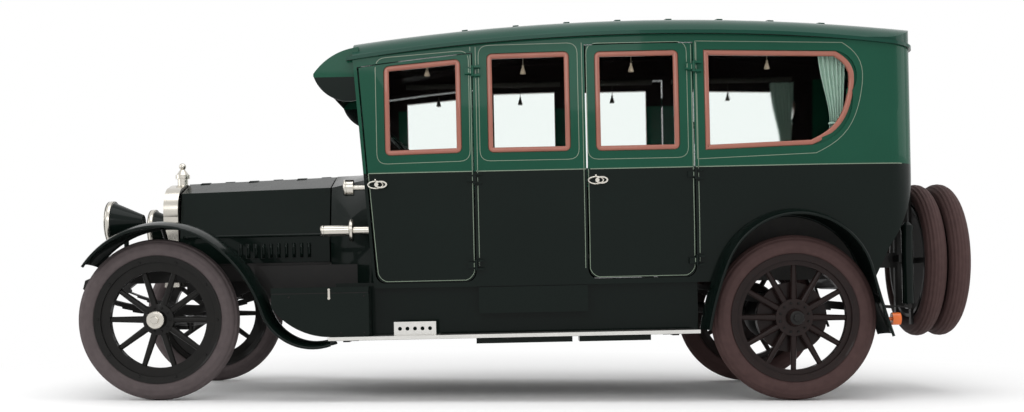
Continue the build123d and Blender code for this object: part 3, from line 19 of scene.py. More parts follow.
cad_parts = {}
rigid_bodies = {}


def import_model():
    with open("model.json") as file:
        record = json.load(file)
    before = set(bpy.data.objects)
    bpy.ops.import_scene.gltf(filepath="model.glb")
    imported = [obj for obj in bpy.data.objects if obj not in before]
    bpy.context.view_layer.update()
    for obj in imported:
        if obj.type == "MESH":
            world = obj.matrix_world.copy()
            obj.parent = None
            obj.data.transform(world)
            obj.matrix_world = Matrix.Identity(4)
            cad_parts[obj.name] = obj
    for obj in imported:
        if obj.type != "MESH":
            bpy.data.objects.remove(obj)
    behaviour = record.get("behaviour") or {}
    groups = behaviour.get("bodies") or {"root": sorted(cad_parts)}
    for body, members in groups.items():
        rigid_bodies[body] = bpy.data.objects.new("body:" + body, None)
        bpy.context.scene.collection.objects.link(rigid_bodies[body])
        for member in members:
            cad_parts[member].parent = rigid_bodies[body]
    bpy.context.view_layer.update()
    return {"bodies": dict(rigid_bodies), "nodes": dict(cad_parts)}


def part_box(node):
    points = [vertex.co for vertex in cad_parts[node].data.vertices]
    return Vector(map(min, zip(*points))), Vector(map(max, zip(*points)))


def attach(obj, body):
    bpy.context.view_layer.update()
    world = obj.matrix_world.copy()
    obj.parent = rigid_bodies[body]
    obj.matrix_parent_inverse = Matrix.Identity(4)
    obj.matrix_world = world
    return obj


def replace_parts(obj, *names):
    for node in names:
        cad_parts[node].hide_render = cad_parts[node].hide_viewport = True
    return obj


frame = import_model()
nodes = frame["nodes"]
CAR = "car"

# %% [markdown]
# The camera
#
# The picture was taken square to the left side from about eight metres, with the lens a little
# above hub height. The frame is set off the lens's axis, as a view camera does, so that upright
# lines stay upright. In Blender that is a small shift on a camera that looks straight along Y.

# %% Set the camera
FRONT_HUB_X = 2.0975
CAMERA_STATION = 1.966
CAMERA_SIDE = 8.017
CAMERA_HEIGHT = 0.683
SENSOR_MM = 36.0
# in pixels of the photograph
FRAME_WIDTH, FOCAL_LENGTH = 1024, 1284
SHIFT_RIGHT, SHIFT_UP = 7, 74

camera_data = bpy.data.cameras.new("camera")
camera_data.sensor_width = SENSOR_MM
camera_data.lens = SENSOR_MM * FOCAL_LENGTH / FRAME_WIDTH
camera_data.shift_x = SHIFT_RIGHT / FRAME_WIDTH
camera_data.shift_y = SHIFT_UP / FRAME_WIDTH
camera = bpy.data.objects.new("camera", camera_data)
camera.location = (FRONT_HUB_X - CAMERA_STATION, CAMERA_SIDE, CAMERA_HEIGHT)
camera.rotation_euler = (math.radians(90), 0, math.radians(180))
bpy.context.scene.collection.objects.link(camera)
bpy.context.scene.camera = camera
print("lens", round(camera_data.lens, 2), "mm")

# %% [markdown]
# Studio light
#
# Dark gloss paint shows little but what it reflects. A white world gives the plain soft base, and
# large area lamps above and beside the car draw the long soft highlights along the roof, fenders
# and engine cover. The lamps are wide, so that their edges are soft.

# %% Light the studio
WORLD_STRENGTH = 0.80
AREA_LAMPS = (
    # name, place, aimed at, width, depth, watts
    ("overhead", (0, 1.2, 5.2), (0, 0, 1), 7.0, 3.0, 120),
    ("left_wall", (1.2, 6.0, 3.4), (0, 0, 0.9), 5.0, 1.4, 60),
    ("front_wall", (6.0, 1.0, 2.6), (1.5, 0, 0.8), 3.0, 2.5, 40),
    ("back_wall", (-6.0, 1.0, 3.0), (-1.5, 0, 1.0), 3.0, 2.5, 40),
)
scene = bpy.context.scene
scene.view_settings.view_transform = "Standard"
world = bpy.data.worlds.new("studio")
scene.world = world
world.use_nodes = True
background = world.node_tree.nodes["Background"]
background.inputs["Color"].default_value = (1, 1, 1, 1)
background.inputs["Strength"].default_value = WORLD_STRENGTH
for name, place, aim, width, depth, watts in AREA_LAMPS:
    lamp = bpy.data.lights.new(name, "AREA")
    lamp.shape = "RECTANGLE"
    lamp.size, lamp.size_y, lamp.energy = width, depth, watts
    holder = bpy.data.objects.new(name, lamp)
    holder.location = place
    holder.rotation_euler = (Vector(aim) - Vector(place)).to_track_quat("-Z", "Y").to_euler()
    scene.collection.objects.link(holder)
print("lamps", len(AREA_LAMPS))

# %% [markdown]
# Small helpers for shaders
#
# Every finish here is a Principled shader with a little procedural detail: noise moves the colour
# and roughness by a few percent and lifts a faint bump. Object coordinates are used, because the
# nodes sit at the origin, so a pattern's scale is in metres and it rides with its piece.


# %% Shader helpers
VARNISH_ROUGHNESS = 0.04


def principled(name, colour, roughness=0.5, metallic=0.0, coat=0.0):
    """New material whose plain values sit on the shader's own sockets."""
    material = bpy.data.materials.new(name)
    material.use_nodes = True
    shader = material.node_tree.nodes["Principled BSDF"]
    shader.inputs["Base Color"].default_value = (*colour, 1)
    shader.inputs["Roughness"].default_value = roughness
    shader.inputs["Metallic"].default_value = metallic
    shader.inputs["Coat Weight"].default_value = coat
    shader.inputs["Coat Roughness"].default_value = VARNISH_ROUGHNESS
    return material, material.node_tree.nodes, material.node_tree.links, shader


def object_place(tree):
    """Object coordinates output of a material."""
    return tree.new("ShaderNodeTexCoord").outputs["Object"]


def noise(tree, links, place, scale, detail=4.0):
    """Noise value at a scale in cycles per metre."""
    node = tree.new("ShaderNodeTexNoise")
    node.inputs["Scale"].default_value = scale
    node.inputs["Detail"].default_value = detail
    links.new(place, node.inputs["Vector"])
    return node.outputs["Fac"]


def blended(tree, links, share, first, second):
    """Mix of two colours, each a tuple or a socket, by a share."""
    node = tree.new("ShaderNodeMix")
    node.data_type = "RGBA"
    links.new(share, node.inputs["Factor"])
    for socket, value in ((node.inputs["A"], first), (node.inputs["B"], second)):
        if isinstance(value, tuple):
            socket.default_value = (*value, 1)
        else:
            links.new(value, socket)
    return node.outputs["Result"]


def calculate(tree, links, operation, first, second=0.0):
    """One Math node, each input a number or a socket."""
    node = tree.new("ShaderNodeMath")
    node.operation = operation
    for socket, value in zip(node.inputs, (first, second)):
        if isinstance(value, (int, float)):
            socket.default_value = value
        else:
            links.new(value, socket)
    return node.outputs[0]


def product(tree, links, *shares):
    """Shares multiplied together."""
    result = shares[0]
    for share in shares[1:]:
        result = calculate(tree, links, "MULTIPLY", result, share)
    return result


def separated(tree, links, vector):
    """X, Y and Z outputs of a vector."""
    split = tree.new("ShaderNodeSeparateXYZ")
    links.new(vector, split.inputs[0])
    return split.outputs


def spread(tree, links, value, low, high):
    """Maps a 0 to 1 value onto a range."""
    node = tree.new("ShaderNodeMapRange")
    node.inputs["To Min"].default_value = low
    node.inputs["To Max"].default_value = high
    links.new(value, node.inputs["Value"])
    return node.outputs["Result"]


def bumped(tree, links, shader, height, depth):
    """Bump of a depth in metres on a shader."""
    node = tree.new("ShaderNodeBump")
    node.inputs["Strength"].default_value = 1.0
    node.inputs["Distance"].default_value = depth
    links.new(height, node.inputs["Height"])
    links.new(node.outputs["Normal"], shader.inputs["Normal"])


# %% [markdown]
# Coach paint
#
# The body is painted deep green above the belt line and almost black green below it, both under
# many coats of rubbed varnish. The two colours meet on a line that leans with the body, so the
# shader works out the height above that tilted line from the object's coordinates. The varnish is
# the shader's clear coat, over a base that is a little rougher.
#
# Each handle's spindle is part of its door, so the same shader plates what stands out past the
# panel at the handle's place. The inner faces are lined with brown cloth. They are told from the
# outer ones by depth on the side walls, and by facing on the roof and the back.

# %% Paint colours, and the places where they change
RAKE = math.radians(1.2)
HUB_HEIGHT = 0.458
BELT = 1.262
VISOR_SPLIT = 1.82
UPPER_GREEN = (0.0075, 0.062, 0.036)
LOWER_GREEN = (0.0028, 0.0065, 0.0050)
ROOF_GREEN = (0.0065, 0.047, 0.031)
FENDER_BLACK = (0.0030, 0.0062, 0.0050)
NICKEL_COLOUR = (0.62, 0.59, 0.53)
LINING_BROWN = (0.016, 0.011, 0.011)
HANDLE_REACH = 0.7475
HANDLE_FOOT, HANDLE_TOP = 1.16, 1.235
HANDLE_PLACES = (0.856, -0.394)
HANDLE_SPAN = 0.07
LINING_DEPTH = 0.694
LINING_REAR = -1.95
LINING_FACING = 0.5


def level_height(tree, links, place):
    """Height in the level drawing of the body, before it was set nose-down."""
    parts = separated(tree, links, place)
    forward = calculate(tree, links, "SUBTRACT", parts["X"], FRONT_HUB_X)
    along = calculate(tree, links, "MULTIPLY", forward, math.sin(RAKE))
    upward = calculate(tree, links, "SUBTRACT", parts["Z"], HUB_HEIGHT)
    upright = calculate(tree, links, "MULTIPLY", upward, math.cos(RAKE))
    levelled = calculate(tree, links, "ADD", along, upright)
    return calculate(tree, links, "ADD", levelled, HUB_HEIGHT)


def handle_share(tree, links, place, level):
    """1 on what stands out past a door at its handle."""
    parts = separated(tree, links, place)
    outward = calculate(tree, links, "ABSOLUTE", parts["Y"])
    near = []
    for handle_place in HANDLE_PLACES:
        away = calculate(tree, links, "SUBTRACT", parts["X"], handle_place)
        away = calculate(tree, links, "ABSOLUTE", away)
        near.append(calculate(tree, links, "LESS_THAN", away, HANDLE_SPAN))
    return product(tree, links,
                   calculate(tree, links, "GREATER_THAN", outward, HANDLE_REACH),
                   calculate(tree, links, "GREATER_THAN", level, HANDLE_FOOT),
                   calculate(tree, links, "LESS_THAN", level, HANDLE_TOP),
                   calculate(tree, links, "ADD", *near))


def lining_share(tree, links, place, lined):
    """1 on the faces that line the cabin."""
    if lined == "side":
        parts = separated(tree, links, place)
        depth = calculate(tree, links, "ABSOLUTE", parts["Y"])
        shallow = calculate(tree, links, "LESS_THAN", depth, LINING_DEPTH)
        forward = calculate(tree, links, "GREATER_THAN", parts["X"], LINING_REAR)
        return product(tree, links, shallow, forward)
    facing = separated(tree, links, tree.new("ShaderNodeNewGeometry").outputs["True Normal"])
    if lined == "roof":
        return calculate(tree, links, "LESS_THAN", facing["Z"], -LINING_FACING)
    return calculate(tree, links, "GREATER_THAN", facing["X"], LINING_FACING)


# %% Coach paint
PAINT_ROUGHNESS, PAINT_COAT, PAINT_SPECULAR = 0.22, 0.16, 0.06
CLOUD_SCALE, CLOUD_LOW, CLOUD_HIGH = 1.7, 0.82, 1.18
RUBBED_SCALE, RUBBED_LOW, RUBBED_HIGH = 9.0, 0.17, 0.30
PANEL_WAVE_SCALE, PANEL_WAVE_DETAIL, PANEL_WAVE_DEPTH = 5.0, 2.0, 0.00025


def coach_paint(name, low_colour, high_colour, split_height=BELT, lined=None):
    """Varnished paint in two colours that meet at a height, with cloth where it lines the cabin."""
    material, tree, links, shader = principled(name, low_colour, PAINT_ROUGHNESS, 0.0, PAINT_COAT)
    shader.inputs["Specular IOR Level"].default_value = PAINT_SPECULAR
    place = object_place(tree)
    level = level_height(tree, links, place)
    upper = calculate(tree, links, "GREATER_THAN", level, split_height)
    cloud = noise(tree, links, place, CLOUD_SCALE)
    clouded = tree.new("ShaderNodeHueSaturation")
    links.new(blended(tree, links, upper, low_colour, high_colour), clouded.inputs["Color"])
    links.new(spread(tree, links, cloud, CLOUD_LOW, CLOUD_HIGH), clouded.inputs["Value"])
    handle = handle_share(tree, links, place, level)
    colour = blended(tree, links, handle, clouded.outputs["Color"], NICKEL_COLOUR)
    if lined:
        colour = blended(tree, links, lining_share(tree, links, place, lined), colour, LINING_BROWN)
    links.new(colour, shader.inputs["Base Color"])
    links.new(handle, shader.inputs["Metallic"])
    rubbed = noise(tree, links, place, RUBBED_SCALE)
    links.new(spread(tree, links, rubbed, RUBBED_LOW, RUBBED_HIGH), shader.inputs["Roughness"])
    wave = noise(tree, links, place, PANEL_WAVE_SCALE, PANEL_WAVE_DETAIL)
    bumped(tree, links, shader, wave, PANEL_WAVE_DEPTH)
    return material


body_paint = coach_paint("body_paint", LOWER_GREEN, UPPER_GREEN, lined="side")
back_paint = coach_paint("back_paint", LOWER_GREEN, UPPER_GREEN, lined="back")
front_paint = coach_paint("front_paint", LOWER_GREEN, UPPER_GREEN)
dark_paint = coach_paint("dark_paint", LOWER_GREEN, LOWER_GREEN)
roof_paint = coach_paint("roof_paint", ROOF_GREEN, ROOF_GREEN, lined="roof")
# on the visor, faces turned down take the lining brown and what lies below the visor split takes the lower
# green, so it is darker underneath
visor_paint = coach_paint("visor_paint", LOWER_GREEN, UPPER_GREEN, VISOR_SPLIT, "roof")
fender_paint = coach_paint("fender_paint", FENDER_BLACK, FENDER_BLACK)
print("paints made", BELT, VISOR_SPLIT)

# %% [markdown]
# Metals, wood, rubber and glass
#
# Nickel plate is warmer and softer than chrome, so its colour leans to yellow and its roughness
# varies with wiping. The wheels are painted wood, with the grain just telling through. Old rubber
# is grey brown and chalky. Glass is a thin tinted pane, clear enough to show the cabin.


# %% Metals, rubber and cloth
STREAK_SCALE, STREAK_DEPTH, STREAK_SPREAD = 35.0, 0.00004, 0.10
TARNISH_SCALE, TARNISH_SHARE = 6.0, 0.82
DULL_SPECULAR = 0.15
POLISHED_BY, WORN_BY = 0.06, 0.08
BUMPS_PER_CLOUD = 12


def wiped_metal(name, colour, roughness):
    """Plated or bare metal with hand-wiped streaks."""
    material, tree, links, shader = principled(name, colour, roughness, 1.0)
    place = object_place(tree)
    streaks = noise(tree, links, place, STREAK_SCALE)
    rough = spread(tree, links, streaks, roughness, roughness + STREAK_SPREAD)
    links.new(rough, shader.inputs["Roughness"])
    tarnished = tuple(TARNISH_SHARE * part for part in colour)
    tarnish = noise(tree, links, place, TARNISH_SCALE)
    links.new(blended(tree, links, tarnish, tarnished, colour), shader.inputs["Base Color"])
    bumped(tree, links, shader, streaks, STREAK_DEPTH)
    return material


def dull_surface(name, colour, second, roughness, scale, depth, coat=0.0):
    """Cloth, rubber, iron or enamel: two colours clouded together over a fine bump."""
    material, tree, links, shader = principled(name, colour, roughness, 0.0, coat)
    shader.inputs["Specular IOR Level"].default_value = DULL_SPECULAR
    place = object_place(tree)
    cloud = noise(tree, links, place, scale / BUMPS_PER_CLOUD)
    links.new(blended(tree, links, cloud, colour, second), shader.inputs["Base Color"])
    worn = spread(tree, links, cloud, roughness - POLISHED_BY, roughness + WORN_BY)
    links.new(worn, shader.inputs["Roughness"])
    bumped(tree, links, shader, noise(tree, links, place, scale), depth)
    return material


nickel = wiped_metal("nickel", NICKEL_COLOUR, 0.16)
aluminium = wiped_metal("aluminium", (0.70, 0.69, 0.66), 0.30)
# name, first colour, second colour, roughness, bump scale, bump depth, coat
chassis_black = dull_surface("chassis_black", (0.006, 0.006, 0.006), (0.013, 0.012, 0.011),
                             0.42, 160.0, 0.0003, 0.1)
front_tyre_rubber = dull_surface("front_tyre_rubber", (0.066, 0.052, 0.053), (0.110, 0.090, 0.090),
                                 0.70, 300.0, 0.0005)
rear_tyre_rubber = dull_surface("rear_tyre_rubber", (0.046, 0.025, 0.024), (0.082, 0.048, 0.045),
                                0.70, 300.0, 0.0005)
mat_rubber = dull_surface("mat_rubber", (0.030, 0.030, 0.030), (0.050, 0.048, 0.045), 0.72, 260.0, 0.0004)
terracotta = dull_surface("terracotta", (0.27, 0.095, 0.066), (0.34, 0.125, 0.088), 0.38, 90.0, 0.0002, 0.5)
seat_cloth = dull_surface("seat_cloth", (0.060, 0.052, 0.045), (0.090, 0.078, 0.066), 0.92, 420.0, 0.0008)
trim_cloth = dull_surface("trim_cloth", (0.050, 0.046, 0.042), (0.075, 0.068, 0.060), 0.95, 380.0, 0.0006)
curtain_cloth = dull_surface("curtain_cloth", (0.34, 0.47, 0.40), (0.46, 0.58, 0.50), 0.90, 500.0, 0.0005)
tassel_silk = dull_surface("tassel_silk", (0.30, 0.23, 0.17), (0.42, 0.33, 0.25), 0.80, 500.0, 0.0004)
# near black for the far side's tassels: painted shade for tassels seen against the light
tassel_painted_shade = dull_surface("tassel_painted_shade", (0.03, 0.028, 0.024), (0.06, 0.055, 0.045), 0.85, 500.0, 0.0004)
# pale green for the coach lines, and for the painted highlight lines beside the door edges
pinstripe_and_highlight = dull_surface("pinstripe_and_highlight", (0.15, 0.20, 0.145), (0.22, 0.27, 0.20), 0.45, 120.0, 0.0001, 0.4)
lamp_orange = dull_surface("lamp_orange", (0.75, 0.13, 0.02), (0.9, 0.22, 0.04), 0.18, 60.0, 0.0001, 0.6)
print("metals, rubber and cloth made", len(bpy.data.materials))

# %% Painted wood and glass
WOOD_ROUGHNESS, WOOD_COAT, WOOD_SPECULAR = 0.34, 0.12, 0.10
WOOD_ROUGH_LOW, WOOD_ROUGH_HIGH = 0.28, 0.44
GRAIN_SCALE, GRAIN_WANDER, GRAIN_DEPTH = 26.0, 9.0, 0.0002
WOOD_CLOUD_SCALE, WOOD_RUBBED_SCALE = 20.0, 30.0
GLASS_ROUGHNESS, GLASS_IOR, GLASS_SPECULAR, GLASS_ALPHA = 0.02, 1.02, 0.5, 0.45
GLASS_WAVE_SCALE, GLASS_WAVE_DEPTH = 6.0, 0.00008


def painted_wood(name, colour, second):
    """Varnished paint over turned spokes, with a wavy grain telling through."""
    material, tree, links, shader = principled(name, colour, WOOD_ROUGHNESS, 0.0, WOOD_COAT)
    shader.inputs["Specular IOR Level"].default_value = WOOD_SPECULAR
    place = object_place(tree)
    grain = tree.new("ShaderNodeTexWave")
    grain.inputs["Scale"].default_value = GRAIN_SCALE
    grain.inputs["Distortion"].default_value = GRAIN_WANDER
    links.new(place, grain.inputs["Vector"])
    cloud = noise(tree, links, place, WOOD_CLOUD_SCALE)
    links.new(blended(tree, links, cloud, colour, second), shader.inputs["Base Color"])
    rubbed = noise(tree, links, place, WOOD_RUBBED_SCALE)
    links.new(spread(tree, links, rubbed, WOOD_ROUGH_LOW, WOOD_ROUGH_HIGH), shader.inputs["Roughness"])
    bumped(tree, links, shader, grain.outputs["Fac"], GRAIN_DEPTH)
    return material


def pane_glass(name, tint):
    """Thin sheet: mostly seen through, with a surface shine."""
    material, tree, links, shader = principled(name, tint, GLASS_ROUGHNESS)
    shader.inputs["Transmission Weight"].default_value = 1.0
    shader.inputs["IOR"].default_value = GLASS_IOR
    shader.inputs["Specular IOR Level"].default_value = GLASS_SPECULAR
    shader.inputs["Alpha"].default_value = GLASS_ALPHA
    bumped(tree, links, shader, noise(tree, links, object_place(tree), GLASS_WAVE_SCALE), GLASS_WAVE_DEPTH)
    return material


front_wood = painted_wood("front_wood", (0.0055, 0.0055, 0.0050), (0.012, 0.011, 0.010))
rear_wood = painted_wood("rear_wood", (0.0100, 0.0065, 0.0060), (0.020, 0.011, 0.010))
window_glass = pane_glass("window_glass", (0.86, 0.93, 0.90))
lens_glass = pane_glass("lens_glass", (0.95, 0.96, 0.94))
print("wood and glass made")

# %% [markdown]
# Paint the construction
#
# Each construction node is one piece of the real car, so it gets one finish. Nodes that belong
# together, such as the doors and the side walls, share a paint, which is how the two greens meet
# on one unbroken line from the front doors to the back of the body.

# %% Assign the finishes
FINISHES = {
    body_paint: ("body_side_left", "body_side_right", "door_front_left", "door_front_right",
                 "door_rear_left", "door_rear_right"),
    back_paint: ("body_back",),
    front_paint: ("windshield_frame",),
    roof_paint: ("roof",),
    visor_paint: ("sun_visor",),
    dark_paint: ("cowl", "engine_cover_left", "engine_cover_right", "splash_aprons", "toolbox",
                 "toolbox_lid"),
    fender_paint: ("front_fenders", "rear_fenders", "lamps", "air_springs", "steering_column",
                   "steering_wheel"),
    nickel: ("radiator_shell", "horn", "cowl_lamps"),
    aluminium: ("running_boards",),
    chassis_black: ("frame", "front_axle", "rear_axle", "springs", "exhaust", "fuel_tank", "engine",
                    "knuckle_left", "knuckle_right", "tie_rod", "radiator_core"),
    front_wood: ("wheel_front_left", "wheel_front_right"),
    rear_wood: ("wheel_rear_left", "wheel_rear_right"),
    front_tyre_rubber: ("tyre_front_left", "tyre_front_right"),
    rear_tyre_rubber: ("tyre_rear_left", "tyre_rear_right", "spare_tyres"),
    window_glass: ("fixed_glass", "door_glass_front_left", "door_glass_front_right",
                   "door_glass_rear_left", "door_glass_rear_right"),
    seat_cloth: ("seats",),
    mat_rubber: ("floor",),
    lamp_orange: ("tail_lamp",),
}


def dress(piece, material):
    """Give a piece one material."""
    piece.data.materials.clear()
    piece.data.materials.append(material)


for finish, names in FINISHES.items():
    for name in names:
        dress(nodes[name], finish)
plain = [name for name in nodes if not any(name in names for names in FINISHES.values())]
print("nodes without a finish", plain)

# %% [markdown]
# Helpers for shapes
#
# Most small parts are swept or turned. A tube follows a line of points, and a turned piece spins a
# profile round an axis. Both are rings of points with faces between neighbours, so one helper
# makes the faces for all. Many small copies are joined in one mesh, which keeps the scene light.


# %% Shape helpers
def to_object(name, mesh_data, material, body=CAR, smooth=True):
    """Put a bmesh in the scene as a named piece that rides on a body."""
    mesh = bpy.data.meshes.new(name)
    mesh_data.to_mesh(mesh)
    mesh_data.free()
    for face in mesh.polygons:
        face.use_smooth = smooth
    piece = bpy.data.objects.new(name, mesh)
    scene.collection.objects.link(piece)
    dress(piece, material)
    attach(piece, body)
    return piece


def join_rings(mesh_data, rings, round_ring=True, last_to_first=False):
    """Faces between neighbouring rings of points."""
    pairs = list(zip(rings, rings[1:]))
    if last_to_first:
        pairs.append((rings[-1], rings[0]))
    for first, second in pairs:
        for step in range(len(first) if round_ring else len(first) - 1):
            follow = (step + 1) % len(first)
            mesh_data.faces.new((first[step], first[follow], second[follow], second[step]))


def close_ends(mesh_data, rings):
    """Caps on the first and last rings."""
    mesh_data.faces.new(rings[0][::-1])
    mesh_data.faces.new(rings[-1])


def add_tube(mesh_data, points, radius, sides=8, closed=False):
    """Sweep a round section along points."""
    rings = []
    count = len(points)
    side_hint = None
    for index, point in enumerate(points):
        before = points[index - 1] if (index or closed) else point
        after = points[(index + 1) % count] if (index < count - 1 or closed) else point
        tangent = (Vector(after) - Vector(before)).normalized()
        if side_hint is None:
            side_hint = tangent.orthogonal()
        side_hint = (side_hint - side_hint.dot(tangent) * tangent).normalized()
        other = tangent.cross(side_hint)
        ring = []
        for step in range(sides):
            angle = 2 * math.pi * step / sides
            offset = side_hint * math.cos(angle) * radius + other * math.sin(angle) * radius
            ring.append(mesh_data.verts.new(Vector(point) + offset))
        rings.append(ring)
    join_rings(mesh_data, rings, True, closed)
    if not closed:
        close_ends(mesh_data, rings)


def add_turned(mesh_data, centre, axis, profile, sides=32):
    """Spin (along, radius) points round an axis through a centre."""
    axis = Vector(axis).normalized()
    side = axis.orthogonal().normalized()
    other = axis.cross(side)
    rings = []
    for along, radius in profile:
        ring = []
        for step in range(sides):
            angle = 2 * math.pi * step / sides
            offset = axis * along + (side * math.cos(angle) + other * math.sin(angle)) * radius
            ring.append(mesh_data.verts.new(Vector(centre) + offset))
        rings.append(ring)
    join_rings(mesh_data, rings)
    close_ends(mesh_data, rings)


def raked(station, height, side=0.0):
    """Point of the level body drawing, in metres behind the front hub, set nose-down."""
    forward, upward = -station, height - HUB_HEIGHT
    return Vector((FRONT_HUB_X + forward * math.cos(RAKE) + upward * math.sin(RAKE), side,
                   HUB_HEIGHT - forward * math.sin(RAKE) + upward * math.cos(RAKE)))


print("helpers ready; belt at the front hub line", tuple(round(part, 4) for part in raked(0, BELT)))

# %% [markdown]
# Window frames
#
# Each side window sits in a wooden frame painted terracotta, a slim band round the glass. It would
# be simple to paint the recess of the panel, but the band has a rounded front that catches light.
# A moulding swept round the opening's outline gives that. The outlines are the same stations and
# heights that the doors were cut to, set nose-down with the body.

# %% Window outlines
WINDOW_CORNER = 0.034
CORNER_STEPS = 5
# fore and aft station, foot height fore and aft, head height fore and aft
WINDOWS = {
    "front_door": (1.304, 1.742, 1.359, 1.367, 1.869, 1.905),
    "middle": (1.890, 2.360, 1.365, 1.365, 1.930, 1.935),
    "rear_door": (2.502, 2.980, 1.362, 1.362, 1.930, 1.930),
}
# the quarter window, and how far in each point of its scrolled rear edge stands
QUARTER_FORE, QUARTER_AFT = 3.122, 3.965
QUARTER_FOOT, QUARTER_HEAD = (1.355, 1.372), (1.927, 1.905)
SCROLL_TOP = 0.090
SCROLL_SHOULDER = (0.022, 0.032)
SCROLL_ABOVE_MIDDLE = 0.040
SCROLL_HEEL = (0.070, 0.082)
SCROLL_TAIL = 0.235
SOFTENINGS = 12


def rounded(corners, radius):
    """Outline through corners in the (station, height) plane, with rounded corners."""
    outline = []
    count = len(corners)
    for index, corner in enumerate(corners):
        here = Vector(corner)
        before = (Vector(corners[index - 1]) - here).normalized()
        after = (Vector(corners[(index + 1) % count]) - here).normalized()
        start, end = here + before * radius, here + after * radius
        for step in range(CORNER_STEPS + 1):
            share = step / CORNER_STEPS
            first = start.lerp(here, share)
            outline.append(first.lerp(here.lerp(end, share), share))
    return outline


def window_corners(window, grow=0.0):
    """Corners of a window grown outward by an amount."""
    fore, aft, foot_fore, foot_aft, head_fore, head_aft = WINDOWS[window]
    return [(fore - grow, foot_fore - grow), (aft + grow, foot_aft - grow), (aft + grow, head_aft + grow),
            (fore - grow, head_fore + grow)]


def three_point_arc(first, middle, last, steps=10):
    """Points of a circle arc through three points in a plane."""
    (ax, ay), (bx, by), (cx, cy) = first, middle, last
    a2, b2, c2 = ax * ax + ay * ay, bx * bx + by * by, cx * cx + cy * cy
    doubled = 2 * (ax * (by - cy) + bx * (cy - ay) + cx * (ay - by))
    centre = Vector(((a2 * (by - cy) + b2 * (cy - ay) + c2 * (ay - by)) / doubled,
                     (a2 * (cx - bx) + b2 * (ax - cx) + c2 * (bx - ax)) / doubled))
    start = math.atan2(ay - centre.y, ax - centre.x)
    via = (math.atan2(by - centre.y, bx - centre.x) - start) % (2 * math.pi)
    turn = (math.atan2(cy - centre.y, cx - centre.x) - start) % (2 * math.pi)
    if via > turn:
        turn -= 2 * math.pi
    radius = (Vector(first) - centre).length
    angles = [start + turn * step / steps for step in range(steps + 1)]
    return [centre + radius * Vector((math.cos(angle), math.sin(angle))) for angle in angles]


def quarter_outline(grow=0.0):
    """Outline of the quarter window, with its scrolled rear edge."""
    foot, head = QUARTER_FOOT[1], QUARTER_HEAD[1]
    middle = (foot + head) / 2
    fore, aft = QUARTER_FORE, QUARTER_AFT
    rearmost = (aft, middle + SCROLL_ABOVE_MIDDLE)
    shoulder = (aft - SCROLL_SHOULDER[0], head - SCROLL_SHOULDER[1])
    heel = (aft - SCROLL_HEEL[0], foot + SCROLL_HEEL[1])
    outline = [Vector((fore, QUARTER_FOOT[0])), Vector((fore, QUARTER_HEAD[0]))]
    outline += three_point_arc((aft - SCROLL_TOP, head), shoulder, rearmost)
    outline += three_point_arc(rearmost, heel, (aft - SCROLL_TAIL, foot))[1:]
    centre = Vector(((fore + aft) / 2, middle))
    wider, higher = 1 + grow / ((aft - fore) / 2), 1 + grow / ((head - foot) / 2)
    outline = [Vector((centre.x + (point.x - centre.x) * wider, centre.y + (point.y - centre.y) * higher))
               for point in outline]
    for _ in range(SOFTENINGS):
        runs = zip(outline[2:], outline[3:], outline[4:])
        soft = [(before + 2 * here + after) / 4 for before, here, after in runs]
        outline = outline[:3] + soft + outline[-1:]
    return outline


outlines = {name: rounded(window_corners(name), WINDOW_CORNER) for name in WINDOWS}
outlines["quarter"] = quarter_outline()
print({name: len(outline) for name, outline in outlines.items()})

# %% [markdown]
# Finding the panel's surface
#
# The body's sides curve in plan and lean inward above the belt, so nothing laid on them can use a
# fixed depth. A ray shot in from the side finds the panel under any point, and which node it
# meets. From that, a line knows which body it has to ride on: a door carries its own lines.

# %% Surface finder
SIDES = {"left": 1, "right": -1}
PROBE_START = 1.5
PANEL_NODES = ("body_side_{}", "door_front_{}", "door_rear_{}", "cowl", "engine_cover_{}", "body_back",
               "windshield_frame", "roof")
BODY_OF = {name: body for body, holder in frame["bodies"].items() for name in nodes
           if nodes[name].parent == holder}
print("nodes by body", len(BODY_OF), "body of the left front door", BODY_OF["door_front_left"])


def surface_trees(names):
    """Ray tree of each named node, in world places."""
    trees = {}
    for name in names:
        mesh = nodes[name].data
        places = [nodes[name].matrix_world @ vertex.co for vertex in mesh.vertices]
        trees[name] = BVHTree.FromPolygons(places, [tuple(face.vertices) for face in mesh.polygons])
    return trees


PANELS = {side: surface_trees([name.format(side) for name in PANEL_NODES]) for side in SIDES}


def find_panel(point, side, trees=None):
    """First panel met by a ray from outside: its place, facing and node."""
    sign = SIDES[side]
    start, inward = Vector((point.x, sign * PROBE_START, point.z)), Vector((0, -sign, 0))
    best = None
    for name, tree in (trees or PANELS[side]).items():
        place, facing, _, _ = tree.ray_cast(start, inward, PROBE_START)
        if place and (best is None or place.y * sign > best[0].y * sign):
            best = (place, facing, name)
    return best


print("panel at the belt", find_panel(raked(2.0, 1.30), "left")[2])

# %% [markdown]
# Laying coach lines and painted highlight lines
#
# The painter drew fine pale lines round each window and along the belt. The pale lines beside each
# door's edge are painted highlights, standing for the shine of a half-round moulding there.
# They could be part of the paint shader, but each is a curve of its own. Thin ribbons laid on the
# panel follow the rays' hits, and a break in depth, as at a window, ends a ribbon.

# %% Ribbon layer
LINE_STEP = 0.012
LINE_LIFT = 0.0006
JUMP = 0.007
LEAST_SIDE_FACING = 0.5


def resample(points, step, closed):
    """Even points along a polyline."""
    path = [Vector(point) for point in points]
    if closed:
        path.append(path[0])
    samples = [path[0]]
    for start, end in zip(path, path[1:]):
        pieces = max(1, math.ceil((end - start).length / step))
        samples += [start.lerp(end, share / pieces) for share in range(1, pieces + 1)]
    return samples


